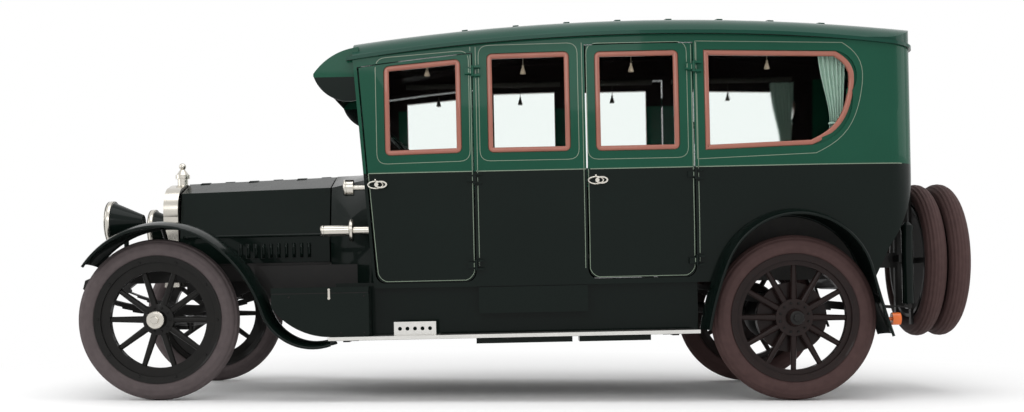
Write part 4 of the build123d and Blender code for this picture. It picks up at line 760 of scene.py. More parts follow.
def lay_ribbon(meshes, points, closed, side, width):
    """One ribbon along a (station, height) line, in the mesh of each body that it lands on."""
    sign = SIDES[side]
    samples = resample(points, LINE_STEP, closed)
    previous = None
    for index, sample in enumerate(samples):
        hit = find_panel(raked(sample.x, sample.y), side)
        if hit is None or abs(hit[1].y) < LEAST_SIDE_FACING:
            previous = None
            continue
        place, facing, node = hit
        facing = facing if facing.y * sign > 0 else -facing
        ahead = samples[min(index + 1, len(samples) - 1)] - samples[max(index - 1, 0)]
        along = (raked(ahead.x, ahead.y) - raked(0, 0)).normalized()
        across = along.cross(facing).normalized() * (width / 2)
        middle = place + facing * LINE_LIFT
        body = BODY_OF[node]
        mesh = meshes.setdefault(body, bmesh.new())
        pair = (mesh.verts.new(middle - across), mesh.verts.new(middle + across))
        if previous and previous[0] == body and abs(previous[2].y - place.y) < JUMP:
            mesh.faces.new((*previous[1], pair[1], pair[0]))
        previous = (body, pair, place)


def lay_ribbons(name, lines, width):
    """Ribbons along lines on both sides, one piece for each body."""
    meshes = {}
    for side in SIDES:
        for points, closed in lines:
            lay_ribbon(meshes, points, closed, side, width)
    for body, mesh in meshes.items():
        bmesh.ops.recalc_face_normals(mesh, faces=mesh.faces)
        for vertex in [loose for loose in mesh.verts if not loose.link_faces]:
            mesh.verts.remove(vertex)
        to_object(f"{name}_{body}", mesh, pinstripe_and_highlight, body)
    print(name, "pieces", len(meshes))


# %% [markdown]
# Where the lines run
#
# The stations are the doors' own edges. A line follows each window about four and a half
# centimetres out, a painted highlight line for the half-round moulding runs down beside every door
# edge and round its foot, and one marks the belt from the cowl to the back.

# %% Paths of the coach lines and the painted highlight lines
WINDOW_LINE_OUT, WINDOW_LINE_CORNER = 0.046, 0.06
BELT_LINE_ENDS = (1.185, 4.36)
FOOT_CORNER, FOOT_CORNER_CUT = 0.060, 0.018
DOOR_INSET = 0.012
PILLAR_LINE_OUT = 0.018
PILLAR_LINE_FOOT = 0.70
DOOR_LINE_HEAD, MIDDLE_LINE_HEAD = 1.97, 1.98
MIDDLE_LINE = 2.431
# fore edge at the foot and at the belt, rear edge, and foot of each door
DOORS = {"front": (1.239, 1.195, 1.810, 0.634), "rear": (2.445, 2.445, 3.063, 0.637)}


def foot_corner(edge, foot, turn):
    """Rounded corner at a door's foot. The turn is 1 at its fore edge and -1 at its rear edge."""
    cut = FOOT_CORNER_CUT + DOOR_INSET
    corner = three_point_arc((edge + turn * DOOR_INSET, foot + FOOT_CORNER), (edge + turn * cut, foot + cut),
                             (edge + turn * FOOT_CORNER, foot + DOOR_INSET), 8)
    return corner[::turn]


def upright_line(station, head):
    """Open painted highlight line straight up a pillar, beside a door edge."""
    return [Vector((station, PILLAR_LINE_FOOT)), Vector((station, head))], False


window_lines = [(rounded(window_corners(name, WINDOW_LINE_OUT), WINDOW_LINE_CORNER), True)
                for name in WINDOWS]
window_lines.append((quarter_outline(WINDOW_LINE_OUT), True))
belt_lines = [([Vector((station, BELT)) for station in BELT_LINE_ENDS], False)]
# lines at the door edges: painted highlights for the shine of a half-round moulding
door_highlight_lines = []
for fore_foot, fore_belt, rear, foot in DOORS.values():
    start = Vector((fore_belt + DOOR_INSET, BELT))
    end = Vector((rear - DOOR_INSET, DOOR_LINE_HEAD))
    round_foot = foot_corner(fore_foot, foot, 1) + foot_corner(rear, foot, -1)
    door_highlight_lines.append(([start] + round_foot + [end], False))
    door_highlight_lines.append(upright_line(rear + PILLAR_LINE_OUT, DOOR_LINE_HEAD))
door_highlight_lines.append(upright_line(MIDDLE_LINE, MIDDLE_LINE_HEAD))
print("window, belt and door lines", len(window_lines), len(belt_lines), len(door_highlight_lines))

# %% Lay the coach lines and the painted highlight lines
FINE_LINE, BELT_LINE = 0.0036, 0.0050
lay_ribbons("window_line", window_lines, FINE_LINE)
lay_ribbons("belt_line", belt_lines, BELT_LINE)
# painted highlight lines beside the door edges
lay_ribbons("door_highlight_line", door_highlight_lines, FINE_LINE)

# %% [markdown]
# Setting the window frames
#
# The panel has a shallow recess just inside each outline, and the frame is a moulding that fills
# it up to the glass. Its section has a rounded inner lip, a low crown and an outer edge that drops
# to the recess. Each ring of the sweep finds the recess floor with a ray, so the moulding follows
# the lean.

# %% Window frames
# (outward from the outline, proud of the recess)
FRAME_SECTION = ((-0.0290, -0.016), (-0.0300, 0.001), (-0.0270, 0.0060), (-0.0200, 0.0085),
                 (-0.0100, 0.0085), (-0.0035, 0.0065), (-0.0005, 0.0020), (-0.0005, -0.003))
FRAME_STEP = 0.018
PROBE_OUT = -0.014
FIRST_DEPTH, LEAST_DEPTH = 0.70, 0.60


def outward_from(outline, index):
    """Direction away from the opening at one point of its outline."""
    run = (outline[(index + 1) % len(outline)] - outline[index - 1]).normalized()
    normal = Vector((run.y, -run.x))
    middle = sum(outline, Vector((0, 0))) / len(outline)
    return normal if normal.dot(outline[index] - middle) > 0 else -normal


def add_moulding(mesh, outline, side):
    """Sweep the frame's section round an opening in the panel."""
    sign = SIDES[side]
    samples = resample(outline, FRAME_STEP, True)[:-1]
    rings = []
    depth = FIRST_DEPTH
    for index, sample in enumerate(samples):
        outward = outward_from(samples, index)
        probe = sample + outward * PROBE_OUT
        hit = find_panel(raked(probe.x, probe.y), side)
        if hit and hit[0].y * sign > LEAST_DEPTH:
            depth = hit[0].y * sign
        ring = []
        for out, proud in FRAME_SECTION:
            place = raked(sample.x + outward.x * out, sample.y + outward.y * out)
            ring.append(mesh.verts.new((place.x, sign * (depth + proud), place.z)))
        rings.append(ring)
    join_rings(mesh, rings, False, True)


frame_meshes = {}
for side in SIDES:
    for name, outline in outlines.items():
        body = {"front_door": f"front_{side}_door", "rear_door": f"rear_{side}_door"}.get(name, CAR)
        add_moulding(frame_meshes.setdefault(body, bmesh.new()), outline, side)
for body, mesh in frame_meshes.items():
    bmesh.ops.recalc_face_normals(mesh, faces=mesh.faces)
    to_object(f"window_frames_{body}", mesh, terracotta, body)
print("window frame pieces", len(frame_meshes))

# %% [markdown]
# Tyres with ribs
#
# The solid tyres are plain rings, which is all that rolling needs. The real ones have ribs
# moulded round the tread and a step where the side wall meets the rim. A profile of the section,
# spun about the axle, gives both. The crest of each rib stays on the solid's own surface.

# %% Turn the tyres
TYRE_STEPS, SECTION_STEPS = 120, 56
RIB_DEPTH, RIB_SHARPNESS = 0.0035, 2.4
TREAD_ANGLE = 1.02
GROOVE_FROM, GROOVE_TO, GROOVE_DEPTH = 1.30, 1.42, 0.0012
TYRE_INSET = 0.0004
# half width of the section, wheel radius, rim seat radius, rib count
TYRES = {"front": (0.057, 0.458, 0.352, 4), "rear": (0.0635, 0.470, 0.352, 6)}


def tyre_profile(half, outer, seat, ribs):
    """Points (along the axle, radius) of a ribbed section, from rim to rim."""
    centre = outer - half
    points = []
    foot_angle = math.acos(max(-1.0, (seat - centre) / half))
    for step in range(SECTION_STEPS + 1):
        angle = -foot_angle + 2 * foot_angle * step / SECTION_STEPS
        reach = half - TYRE_INSET
        if abs(angle) < TREAD_ANGLE:
            wave = RIB_SHARPNESS * math.cos(math.pi * ribs * angle / TREAD_ANGLE)
            reach -= RIB_DEPTH * (0.5 - 0.5 * max(-1.0, min(1.0, wave)))
        elif GROOVE_FROM < abs(angle) < GROOVE_TO:
            reach -= GROOVE_DEPTH
        points.append((math.sin(angle) * reach, centre + math.cos(angle) * reach))
    return points


def add_ring(mesh, centre, axis, profile, side=(0, 0, 1)):
    """Spin an open (along, radius) profile round an axis, from a side, with no end caps."""
    axis, side = Vector(axis), Vector(side)
    other = axis.cross(side)
    rings = []
    for step in range(TYRE_STEPS):
        angle = 2 * math.pi * step / TYRE_STEPS
        radial = side * math.cos(angle) + other * math.sin(angle)
        rings.append([mesh.verts.new(centre + axis * along + radial * radius) for along, radius in profile])
    join_rings(mesh, rings, False, True)


def middle_of(name):
    """Centre of a node's box."""
    low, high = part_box(name)
    return (Vector(low) + Vector(high)) / 2


for end, rubber in (("front", front_tyre_rubber), ("rear", rear_tyre_rubber)):
    for side in SIDES:
        node = f"tyre_{end}_{side}"
        mesh = bmesh.new()
        add_ring(mesh, middle_of(node), (0, 1, 0), tyre_profile(*TYRES[end]))
        bmesh.ops.recalc_face_normals(mesh, faces=mesh.faces)
        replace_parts(to_object(f"ribbed_{node}", mesh, rubber, BODY_OF[node]), node)

# %% [markdown]
# Spare tyres
#
# The two spares hang on the carrier behind the body, one behind the other, and the photograph
# looks along their treads. Their ribs are what the eye sees first, so they get the same profile,
# spun about the carrier's axis, which leans with the body.

# %% Turn the spares
SPARE_STATIONS = (4.526, 4.667)
SPARE_HEIGHT = 0.712
spare_axis = (math.cos(RAKE), 0, -math.sin(RAKE))
spare_upright = (math.sin(RAKE), 0, math.cos(RAKE))
spare_mesh = bmesh.new()
for station in SPARE_STATIONS:
    centre = raked(station, SPARE_HEIGHT)
    add_ring(spare_mesh, centre, spare_axis, tyre_profile(*TYRES["rear"]), spare_upright)
bmesh.ops.recalc_face_normals(spare_mesh, faces=spare_mesh.faces)
spares = to_object("ribbed_spare_tyres", spare_mesh, rear_tyre_rubber)
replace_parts(spares, "spare_tyres")

# %% [markdown]
# Hubs and rims
#
# A nickel cap closes each front hub, with a hexagon that a spanner turns. Bolts hold the hub's
# flange to the spokes and clips hold the rim. They are many and small, so each wheel's are joined.

# %% Hub caps, bolts and rim clips
HUB_FACE = 0.0962
CLIP_CIRCLE, CLIP_OUT = 0.338, 0.012
CLIP_FORM = ((0, 0.0075), (0.028, 0.0075), (0.031, 0.005))
BOLT_OUT = 0.026
BOLT_FORM = ((-0.004, 0.0065), (0.012, 0.0065), (0.014, 0.004))
# spokes, bolt circle, cap form, hexagon form and finish
HUBS = {
    "front": (10, 0.070, ((-0.014, 0.040), (-0.010, 0.050), (0.000, 0.050), (0.004, 0.046), (0.006, 0.036)),
              ((0.006, 0.024), (0.017, 0.024), (0.020, 0.020)), nickel),
    "rear": (12, 0.084, ((-0.004, 0.0395), (0.003, 0.0395), (0.005, 0.033)),
             ((0.005, 0.022), (0.014, 0.022), (0.016, 0.019)), chassis_black),
}
for end, (spokes, bolt_circle, cap_form, hexagon_form, finish) in HUBS.items():
    for side, sign in SIDES.items():
        body = BODY_OF[f"wheel_{end}_{side}"]
        hub = middle_of(f"tyre_{end}_{side}")
        axis = (0, sign, 0)
        face = hub + Vector((0, sign * HUB_FACE, 0))
        cap = bmesh.new()
        add_turned(cap, face, axis, cap_form, 40)
        add_turned(cap, face, axis, hexagon_form, 6)
        to_object(f"hub_cap_{end}_{side}", cap, finish, body, False)
        bolts = bmesh.new()
        for step in range(spokes):
            angle = 2 * math.pi * (step + 0.5) / spokes
            for circle, out, form in ((CLIP_CIRCLE, CLIP_OUT, CLIP_FORM), (bolt_circle, BOLT_OUT, BOLT_FORM)):
                place = Vector((math.sin(angle) * circle, sign * out, math.cos(angle) * circle))
                add_turned(bolts, hub + place, axis, form, 6)
        to_object(f"bolts_{end}_{side}", bolts, chassis_black, body, False)
print("hub caps and bolts set", len(HUBS) * len(SIDES))

# %% [markdown]
# Cushions
#
# The solid seats only hold the place. Real ones are sprung and buttoned: each cushion swells in
# the middle, rounds over at the edges and is pulled in along its pleats. Each block of the solid
# gives the size, and a fine grid over it is shaped by that rule. It stays within the block.

# %% Cushion shapes
PLEAT, PLEAT_DEPTH = 0.105, 0.012
PULLED_FROM = 0.3
EDGE_ROUND = 0.045
# grid pitch and fewest cells along, across and up
CUSHION_GRID = ((0.02, 4), (0.0131, 8), (0.02, 4))
LEAN_BAND = 0.03


def loose_parts(name):
    """Corner points of each separate solid in a node."""
    mesh = bmesh.new()
    mesh.from_mesh(nodes[name].data)
    bmesh.ops.remove_doubles(mesh, verts=mesh.verts, dist=0.00001)
    left = set(mesh.verts)
    parts = []
    while left:
        stack, points = [left.pop()], []
        while stack:
            vertex = stack.pop()
            points.append(vertex.co.copy())
            for edge in vertex.link_edges:
                other = edge.other_vert(vertex)
                if other in left:
                    left.remove(other)
                    stack.append(other)
        parts.append(points)
    mesh.free()
    return parts


def cushion_point(share, size, centre, lean):
    """Place on a rounded, pleated block at a share of each side. The lean moves its top back."""
    local = Vector([(share[axis] - 0.5) * size[axis] for axis in range(3)])
    core = Vector([max(-size[axis] / 2 + EDGE_ROUND, min(size[axis] / 2 - EDGE_ROUND, local[axis]))
                   for axis in range(3)])
    off = local - core
    place = core + off.normalized() * EDGE_ROUND if off.length > 0.0001 else local
    pull = PLEAT_DEPTH * (1 - abs(math.sin(math.pi * (place.y + size[1] / 2) / PLEAT))) ** 2
    for axis in (0, 2):
        if abs(place[axis]) > size[axis] * PULLED_FROM:
            place[axis] -= math.copysign(pull, place[axis])
    up = (place.z + size[2] / 2) / size[2]
    return centre + place - Vector((lean * up, 0, 0))


def add_cushion(mesh, low, high, lean):
    """Grid of cushion points over the six sides of a block."""
    size, centre = high - low, (low + high) / 2
    counts = [max(fewest, round(size[axis] / pitch)) for axis, (pitch, fewest) in enumerate(CUSHION_GRID)]
    corners = {}

    def corner(index):
        if index not in corners:
            share = [index[axis] / counts[axis] for axis in range(3)]
            corners[index] = mesh.verts.new(cushion_point(share, size, centre, lean))
        return corners[index]

    for level_axis, first_axis, second_axis in ((2, 0, 1), (1, 0, 2), (0, 1, 2)):
        for first in range(counts[first_axis]):
            for second in range(counts[second_axis]):
                for level in (0, counts[level_axis]):
                    cell = []
                    for first_step, second_step in ((0, 0), (1, 0), (1, 1), (0, 1)):
                        index = [level, level, level]
                        index[first_axis] = first + first_step
                        index[second_axis] = second + second_step
                        cell.append(corner(tuple(index)))
                    mesh.faces.new(cell)
    bmesh.ops.recalc_face_normals(mesh, faces=mesh.faces)


# %% Shape the cushions
cushions = []
for points in sorted(loose_parts("seats"), key=lambda part: -max(point.x for point in part)):
    low = Vector([min(point[axis] for point in points) for axis in range(3)])
    high = Vector([max(point[axis] for point in points) for axis in range(3)])
    top_front = max(point.x for point in points if point.z > high.z - LEAN_BAND)
    foot_front = max(point.x for point in points if point.z < low.z + LEAN_BAND)
    lean = max(0.0, foot_front - top_front)
    mesh = bmesh.new()
    add_cushion(mesh, low + Vector((lean, 0, 0)), high, lean)
    cushion = to_object(f"cushion_{len(cushions)}", mesh, seat_cloth)
    cushions.append(cushion)
    print(cushion.name, "from", tuple(round(part, 3) for part in low), "lean", round(lean, 3))
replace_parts(cushions[0], "seats")

# %% [markdown]
# Curtains
#
# A pale curtain hangs inside each quarter window, gathered and tied back low down. It is a sheet
# with deep folds that narrow to the tie and fall open below. Its folds are a wave across the
# width, so the flat cut is nearly twice as wide as the hung curtain.

# %% Hang the curtains
CURTAIN_TOP, CURTAIN_FOOT, CURTAIN_TIE = 1.935, 1.345, 1.50
CURTAIN_AFT, CURTAIN_SIDE = 3.945, 0.655
CURTAIN_WIDE, CURTAIN_TIED, TIED_FORWARD = 0.165, 0.075, 0.022
GATHER_ABOVE, GATHER_BELOW = 0.26, 0.11
CURTAIN_FOLDS, FOLD_DEPTH, FOLD_SWAY, FOLD_SWAYS = 6, 0.011, 1.2, 3
CURTAIN_ROWS, CURTAIN_COLUMNS = 40, 96
TIE_HALF, TIE_DEEP, TIE_THICK, TIE_STEPS = 0.037, 0.015, 0.007, 24


def curtain_row(fall, sign):
    """Places along one row of a curtain, at a share of its fall."""
    height = CURTAIN_TOP + (CURTAIN_FOOT - CURTAIN_TOP) * fall
    reach = GATHER_ABOVE if height > CURTAIN_TIE else GATHER_BELOW
    gather = math.exp(-((height - CURTAIN_TIE) / reach) ** 2)
    width = CURTAIN_WIDE + (CURTAIN_TIED - CURTAIN_WIDE) * gather
    places = []
    for column in range(CURTAIN_COLUMNS + 1):
        share = column / CURTAIN_COLUMNS
        turn = 2 * math.pi * CURTAIN_FOLDS * share + FOLD_SWAY * math.sin(FOLD_SWAYS * fall)
        station = CURTAIN_AFT - TIED_FORWARD * gather - width * (1 - share)
        places.append(raked(station, height, sign * (CURTAIN_SIDE + FOLD_DEPTH * math.sin(turn))))
    return places


for side, sign in SIDES.items():
    mesh = bmesh.new()
    rows = [[mesh.verts.new(place) for place in curtain_row(row / CURTAIN_ROWS, sign)]
            for row in range(CURTAIN_ROWS + 1)]
    join_rings(mesh, rows, False)
    length = CURTAIN_TOP - CURTAIN_FOOT
    flat_width = round(sum(face.calc_area() for face in mesh.faces) / length, 4)
    curtain = to_object(f"curtain_{side}", mesh, curtain_cloth)
    tie_middle = CURTAIN_AFT - TIED_FORWARD - CURTAIN_TIED / 2
    loop = []
    for step in range(TIE_STEPS):
        angle = 2 * math.pi * step / TIE_STEPS
        depth = CURTAIN_SIDE + math.sin(angle) * TIE_DEEP
        loop.append(raked(tie_middle + math.cos(angle) * TIE_HALF, CURTAIN_TIE, sign * depth))
    tie = bmesh.new()
    add_tube(tie, loop, TIE_THICK, 10, True)
    to_object(f"curtain_tie_{side}", tie, curtain_cloth)
    print("curtain", side, "flat", flat_width, "x", round(length, 3))

# %% [markdown]
# Tassels, blind rollers and the vase
# A small tassel hangs from each blind at the top of a window, and a flower vase stands on the
# rear pillar. Both are turned shapes. The tassels on the far side are painted dark, a painted
# shade for how they stand against the light, as in the photograph.

# %% Tassels, blind rollers and the vase
BLIND_SIDE, BLIND_HEIGHT, BLIND_RADIUS = 0.648, 1.955, 0.017
BLINDS = ((1.33, 1.74), (1.88, 2.37), (2.50, 2.99), (3.12, 3.93))
TASSEL_TOP = 1.935
TASSEL_STATIONS = (1.55, 2.10, 2.72, 3.50)
TASSEL_FORM = ((0.0, 0.0018), (0.062, 0.0018), (0.064, 0.006), (0.072, 0.007), (0.076, 0.005),
               (0.080, 0.008), (0.112, 0.017), (0.115, 0.013))
VASE_PLACE = (3.05, 1.40, 0.655)
VASE_FORM = ((0.0, 0.004), (0.03, 0.008), (0.09, 0.018), (0.12, 0.021), (0.125, 0.019))
for side, sign in SIDES.items():
    tassels, blinds = bmesh.new(), bmesh.new()
    for station in TASSEL_STATIONS:
        add_turned(tassels, raked(station, TASSEL_TOP, sign * BLIND_SIDE), (0, 0, -1), TASSEL_FORM, 14)
    for ends in BLINDS:
        roller = [raked(station, BLIND_HEIGHT, sign * BLIND_SIDE) for station in ends]
        add_tube(blinds, roller, BLIND_RADIUS, 14)
    # the far side's tassels take the dark colour, a painted shade for their standing against the light
    to_object(f"tassels_{side}", tassels, tassel_silk if side == "left" else tassel_painted_shade)
    to_object(f"blind_rollers_{side}", blinds, trim_cloth)
vase = bmesh.new()
add_turned(vase, raked(*VASE_PLACE), (0, 0, 1), VASE_FORM, 20)
to_object("vase", vase, nickel)
print("tassels and blinds on each side", len(TASSEL_STATIONS), len(BLINDS))

# %% [markdown]
# Headlamps, cowl lamps and horn
#
# Each headlamp is a black bell with a nickel rim, a bright bowl and a plain glass. The solid gives
# the bell. The rim is turned to sit round its mouth, and the glass lies just inside the rim. The
# cowl lamps and the horn are rimmed in the same way. All of them face straight ahead.

# %% Lamp rims, bowls and glasses, and horn rings
HEADLAMP, COWL_LAMP = (-0.345, 1.022, 0.450), (1.062, 1.190, 0.640)
HORN_MOUTH, HORN_THROAT = (1.094, 0.943, 0.676), (0.928, 0.943, 0.676)
BOTH, LEFT_ONLY = (1, -1), (1,)
# piece, finish, sides, then (place, form as (backward, radius), steps round) of each ring in it
RINGS = (
    ("headlamp_rims", nickel, BOTH, (
        (HEADLAMP, ((-0.001, 0.112), (-0.006, 0.118), (-0.004, 0.128), (0.010, 0.1315), (0.026, 0.1315),
                    (0.030, 0.1285)), 56),)),
    ("headlamp_bowls", aluminium, BOTH, (
        (HEADLAMP, ((-0.0012, 0.112), (-0.0006, 0.060), (-0.0004, 0.006)), 48),)),
    ("headlamp_glasses", lens_glass, BOTH, (
        (HEADLAMP, ((-0.0035, 0.114), (-0.0070, 0.080), (-0.0085, 0.030), (-0.0088, 0.001)), 48),)),
    ("cowl_lamp_rims", nickel, BOTH, (
        (COWL_LAMP, ((-0.004, 0.036), (-0.006, 0.044), (0.004, 0.0475), (0.012, 0.0475)), 36),)),
    ("horn_rings", nickel, LEFT_ONLY, (
        (HORN_MOUTH, ((-0.003, 0.050), (-0.005, 0.060), (0.004, 0.0655), (0.010, 0.0655),
                      (0.016, 0.060)), 40),
        (HORN_THROAT, ((-0.002, 0.024), (-0.004, 0.030), (0.010, 0.0335), (0.016, 0.0315)), 32))),
)
backward = raked(1, 0) - raked(0, 0)
for name, finish, signs, rings in RINGS:
    mesh = bmesh.new()
    for sign in signs:
        for (station, height, out), form, steps in rings:
            add_turned(mesh, raked(station, height, sign * out), backward, form, steps)
    to_object(name, mesh, finish)
print("lamp and horn pieces", len(RINGS))

# %% [markdown]
# Radiator mesh
#
# Behind the plated surround is a core of fine cells. The solid has upright fins. Thin level bars
# across them, at the pitch of the real cells, make the mesh. They are joined in one light piece.

# %% Radiator mesh
CORE_STATION, CORE_FOOT, CORE_HALF = -0.0655, 0.690, 0.262
BAR_COUNT, BAR_PITCH, BAR_RADIUS = 40, 0.0132, 0.0016
CORE_SHOULDER, CORE_SLOPE = 1.12, 0.55
bars = bmesh.new()
for row in range(BAR_COUNT):
    height = CORE_FOOT + row * BAR_PITCH
    half = CORE_HALF - max(0.0, height - CORE_SHOULDER) * CORE_SLOPE
    add_tube(bars, [raked(CORE_STATION, height, -half), raked(CORE_STATION, height, half)], BAR_RADIUS, 6)
to_object("radiator_mesh", bars, chassis_black)
print("radiator bars", BAR_COUNT)

# %% [markdown]
# Engine cover trim
#
# Ten pressed louvres let the hot air out, and each has a rounded hood that catches the light at
# its top. A half-round moulding runs along the shoulder above them. Both ride on the cover, so
# they lift with it. Their depth is found by a ray, as the coach lines' was.

# %% Louvre hoods and shoulder moulding
LOUVRE_FIRST, LOUVRE_PITCH, LOUVRE_COUNT = 0.396, 0.046, 10
# (height, stand off the cover) of the points along a hood
HOOD_POINTS = ((0.803, 0.003), (0.830, 0.003), (0.860, 0.003), (0.884, 0.004))
HOOD_RADIUS, HOOD_SINK = 0.0085, 0.002
HOOD_CAP = ((0, 0.0085), (0.004, 0.0078), (0.007, 0.0055), (0.0085, 0.0015))
MOULDING_HEIGHT, MOULDING_STAND, MOULDING_RADIUS = 0.936, 0.002, 0.009
MOULDING_FIRST, MOULDING_PITCH, MOULDING_POINTS = 0.045, 0.0375, 24


def on_cover(side, route):
    """Places just off an engine cover along (station, height, stand) points that meet it."""
    cover = {"cover": PANELS[side][f"engine_cover_{side}"]}
    hits = [(find_panel(raked(station, height), side, cover), stand) for station, height, stand in route]
    return [hit[0] + Vector((0, SIDES[side] * stand, 0)) for hit, stand in hits if hit]


for side in SIDES:
    body = f"{side}_engine_cover"
    hoods, moulding = bmesh.new(), bmesh.new()
    for number in range(LOUVRE_COUNT):
        station = LOUVRE_FIRST + number * LOUVRE_PITCH
        points = on_cover(side, [(station, *point) for point in HOOD_POINTS])
        add_tube(hoods, points, HOOD_RADIUS, 10)
        add_turned(hoods, points[-1] - Vector((0, 0, HOOD_SINK)), (0, 0, 1), HOOD_CAP, 12)
    to_object(f"louvre_hoods_{side}", hoods, dark_paint, body)
    points = on_cover(side, [(MOULDING_FIRST + step * MOULDING_PITCH, MOULDING_HEIGHT, MOULDING_STAND)
                             for step in range(MOULDING_POINTS)])
    add_tube(moulding, points, MOULDING_RADIUS, 12)
    to_object(f"shoulder_moulding_{side}", moulding, dark_paint, body)
    print("hoods and moulding", side, len(points))

# %% [markdown]
# Valances
#
# Thin dark sheets close the spaces between the fenders, the rails and the boards, so that no
# daylight shows past the engine. They keep clear of the front wheels at full lock.

# %% Valances
# the sheet behind the front fender follows the fender's fall down to the board
FENDER_FALL = ((0.520, 0.700), (0.560, 0.640), (0.600, 0.580), (0.650, 0.515), (0.710, 0.455),
               (0.780, 0.405), (0.860, 0.368), (0.940, 0.348), (1.000, 0.342), (1.225, 0.342),
               (1.225, 0.604), (1.225, 0.752), (0.520, 0.752))


def oblong(fore, foot, aft, head):
    """Outline of a plain rectangle in (station, height)."""
    return (fore, foot), (aft, foot), (aft, head), (fore, head)


def add_sheet(mesh, outline, side_low, side_high):
    """Flat sheet with an outline in (station, height), between two distances from the middle."""
    rings = [[mesh.verts.new(raked(station, height, side)) for station, height in outline]
             for side in (side_low, side_high)]
    join_rings(mesh, rings)
    close_ends(mesh, rings)


# outline, inner and outer distance from the middle
VALANCES = (
    (FENDER_FALL, 0.560, 0.563),
    (oblong(0.060, 0.560, 1.220, 0.664), 0.300, 0.303),
    (oblong(0.030, 0.757, 0.935, 0.772), 0.352, 0.375),
    (oblong(0.945, 0.757, 1.220, 0.930), 0.375, 0.378),
)
valances = bmesh.new()
for sign in SIDES.values():
    for outline, inner, outer in VALANCES:
        add_sheet(valances, outline, sign * inner, sign * outer)
bmesh.ops.recalc_face_normals(valances, faces=valances.faces)
to_object("valances", valances, chassis_black, CAR, False)
print("valances on each side", len(VALANCES))

# %% [markdown]
# Running board and toolbox trim
#
# The boards have a ribbed mat behind a bright metal edge. The toolbox has a dark strip under its
# lid, a hasp with a hanging catch and a few rivets. The mat's ribs are joined in one piece, and so
# are the strip and the rivets.

# %% Board mats, hasp and rivets
MAT_TOP, MAT_FORE, MAT_AFT = 0.3405, 1.60, 3.04
MAT_INNER, MAT_RIBS, MAT_PITCH, MAT_RIB_RADIUS = 0.672, 17, 0.0118, 0.0022
HASP_STATION = 0.985
HASP_STRAP = (oblong(0.979, 0.562, 0.991, 0.604), 0.8455, 0.8475)
# height, side and form of the two studs of the hasp
HASP_STUDS = ((0.608, 0.846, ((0, 0.008), (0.004, 0.007))), (0.560, 0.8465, ((0, 0.009), (0.004, 0.008))))
RIVETS, RIVET_SIDE = ((0.76, 0.570), (1.18, 0.570), (1.18, 0.365), (1.05, 0.365)), 0.8452
RIVET_FORM = ((0, 0.006), (0.003, 0.004))
LID_STRIP = (oblong(0.664, 0.5864, 1.202, 0.5908), 0.834, 0.8446)
OUTWARD = (0, 1, 0)
mats, hasp, rivets = bmesh.new(), bmesh.new(), bmesh.new()
for sign in SIDES.values():
    for rib in range(MAT_RIBS):
        out = sign * (MAT_INNER + rib * MAT_PITCH)
        add_tube(mats, [raked(MAT_FORE, MAT_TOP, out), raked(MAT_AFT, MAT_TOP, out)], MAT_RIB_RADIUS, 6)
for height, out, form in HASP_STUDS:
    add_turned(hasp, raked(HASP_STATION, height, out), OUTWARD, form, 12)
add_sheet(hasp, *HASP_STRAP)
for station, height in RIVETS:
    add_turned(rivets, raked(station, height, RIVET_SIDE), OUTWARD, RIVET_FORM, 10)
add_sheet(rivets, *LID_STRIP)
to_object("board_mats", mats, mat_rubber)
to_object("toolbox_hasp", hasp, nickel, "box_lid", False)
to_object("toolbox_rivets", rivets, chassis_black, CAR, False)
print("mat ribs", MAT_RIBS, "rivets", len(RIVETS))

# %% [markdown]
# Door handles
#
# Each door opens with a loop of nickel that is pulled and turned. The solid has the small ring at
# its spindle. The loop round it is swept as an oval, with a knob on top where the bolt is worked.

# %% Door handle loops
HANDLE_HEIGHT, HANDLE_IN = 1.196, 0.052
PANEL_PROBE_UP = 0.045
LOOP_WIDE, LOOP_TALL, LOOP_TUBE, LOOP_STEPS = 0.042, 0.020, 0.0045, 32
LOOP_STAND = 0.0135
KNOB_TALL, KNOB_RADIUS = 0.012, 0.0055
NECK_UP, NECK_RADIUS = 0.004, 0.0060
for side, sign in SIDES.items():
    for row, (_, fore, _, _) in DOORS.items():
        middle = fore + HANDLE_IN
        door = {"door": PANELS[side][f"door_{row}_{side}"]}
        panel = find_panel(raked(middle, HANDLE_HEIGHT + PANEL_PROBE_UP), side, door)[0]
        near, far = sign * abs(panel.y), sign * (abs(panel.y) + LOOP_STAND)
        crest, neck = HANDLE_HEIGHT + LOOP_TALL, HANDLE_HEIGHT + LOOP_TALL + NECK_UP
        loop = []
        for step in range(LOOP_STEPS):
            angle = 2 * math.pi * step / LOOP_STEPS
            height = HANDLE_HEIGHT + math.sin(angle) * LOOP_TALL
            loop.append(raked(middle + math.cos(angle) * LOOP_WIDE, height, far))
        handle = bmesh.new()
        add_tube(handle, loop, LOOP_TUBE, 10, True)
        add_tube(handle, [raked(middle, crest, far), raked(middle, crest + KNOB_TALL, far)], KNOB_RADIUS, 10)
        add_tube(handle, [raked(middle, neck, near), raked(middle, neck, far)], NECK_RADIUS, 10)
        to_object(f"handle_loop_{row}_{side}", handle, nickel, f"{row}_{side}_door")
print("handle loops set", len(SIDES) * len(DOORS))

# %% [markdown]
# Floor and backdrop
#
# A pale floor takes the soft shadow under the car, and fades to the white of the backdrop a few
# metres out, so that no horizon shows. Light Path lets the camera, the plated metal and the glass
# see that white, while the light that falls on the car stays softer.

# %% Floor
FLOOR_HALF = 60.0
FLOOR_COLOUR, FLOOR_SPECULAR = (0.96, 0.96, 0.96), 0.1
FLOOR_CLOUD_SCALE, FLOOR_ROUGH_LOW, FLOOR_ROUGH_HIGH = 0.6, 0.88, 0.92
FADE_START, FADE_END = 2.6, 4.6


def join_shaders(tree, links, share, first, second, surface):
    """Mix of two shaders by a share, sent to a surface."""
    mix = tree.new("ShaderNodeMixShader")
    links.new(share, mix.inputs["Fac"])
    links.new(first, mix.inputs[1])
    links.new(second, mix.inputs[2])
    links.new(mix.outputs["Shader"], surface)


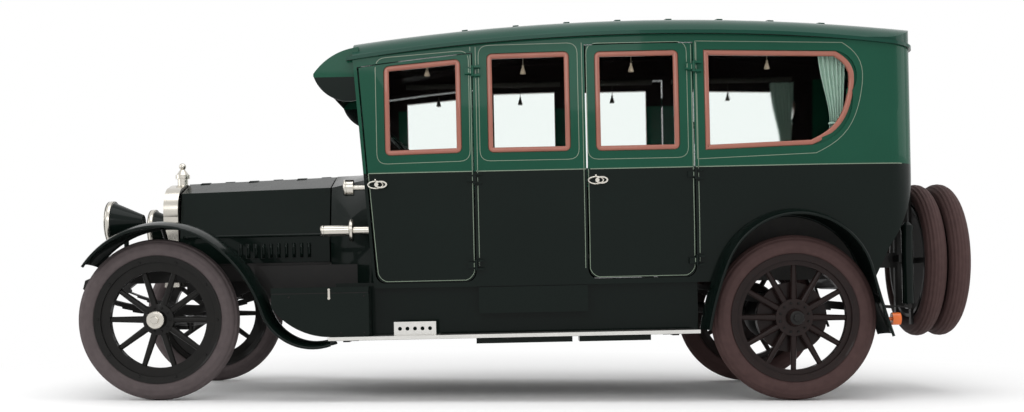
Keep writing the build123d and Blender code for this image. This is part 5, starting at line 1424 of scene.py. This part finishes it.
floor_mesh = bmesh.new()
corners = ((-FLOOR_HALF, -FLOOR_HALF), (FLOOR_HALF, -FLOOR_HALF), (FLOOR_HALF, FLOOR_HALF),
           (-FLOOR_HALF, FLOOR_HALF))
floor_mesh.faces.new([floor_mesh.verts.new((x, y, 0.0)) for x, y in corners])
floor_data = bpy.data.meshes.new("studio_floor")
floor_mesh.to_mesh(floor_data)
floor_mesh.free()
studio_floor = bpy.data.objects.new("studio_floor", floor_data)
scene.collection.objects.link(studio_floor)
floor_white = bpy.data.materials.new("floor_white")
floor_white.use_nodes = True
tree, links = floor_white.node_tree.nodes, floor_white.node_tree.links
shader = tree["Principled BSDF"]
shader.inputs["Base Color"].default_value = (*FLOOR_COLOUR, 1)
shader.inputs["Specular IOR Level"].default_value = FLOOR_SPECULAR
cloud = noise(tree, links, object_place(tree), FLOOR_CLOUD_SCALE)
links.new(spread(tree, links, cloud, FLOOR_ROUGH_LOW, FLOOR_ROUGH_HIGH), shader.inputs["Roughness"])
far_white = tree.new("ShaderNodeEmission")
reach = tree.new("ShaderNodeVectorMath")
reach.operation = "LENGTH"
links.new(object_place(tree), reach.inputs[0])
fade = tree.new("ShaderNodeMapRange")
fade.interpolation_type = "SMOOTHSTEP"
fade.inputs["From Min"].default_value = FADE_START
fade.inputs["From Max"].default_value = FADE_END
links.new(reach.outputs["Value"], fade.inputs["Value"])
join_shaders(tree, links, fade.outputs["Result"], shader.outputs["BSDF"], far_white.outputs["Emission"],
             tree["Material Output"].inputs["Surface"])
dress(studio_floor, floor_white)
print("floor fades from", FADE_START, "to", FADE_END, "m")

# %% Backdrop
tree, links = world.node_tree.nodes, world.node_tree.links
light_path = tree.new("ShaderNodeLightPath")
mirrored = calculate(tree, links, "MAXIMUM", light_path.outputs["Is Glossy Ray"],
                     light_path.outputs["Is Transmission Ray"])
seen = calculate(tree, links, "MAXIMUM", light_path.outputs["Is Camera Ray"], mirrored)
white_back = tree.new("ShaderNodeBackground")
white_back.inputs["Color"].default_value = (1, 1, 1, 1)
white_back.inputs["Strength"].default_value = 1.0
join_shaders(tree, links, seen, background.outputs["Background"], white_back.outputs["Background"],
             tree["World Output"].inputs["Surface"])
print("backdrop set")
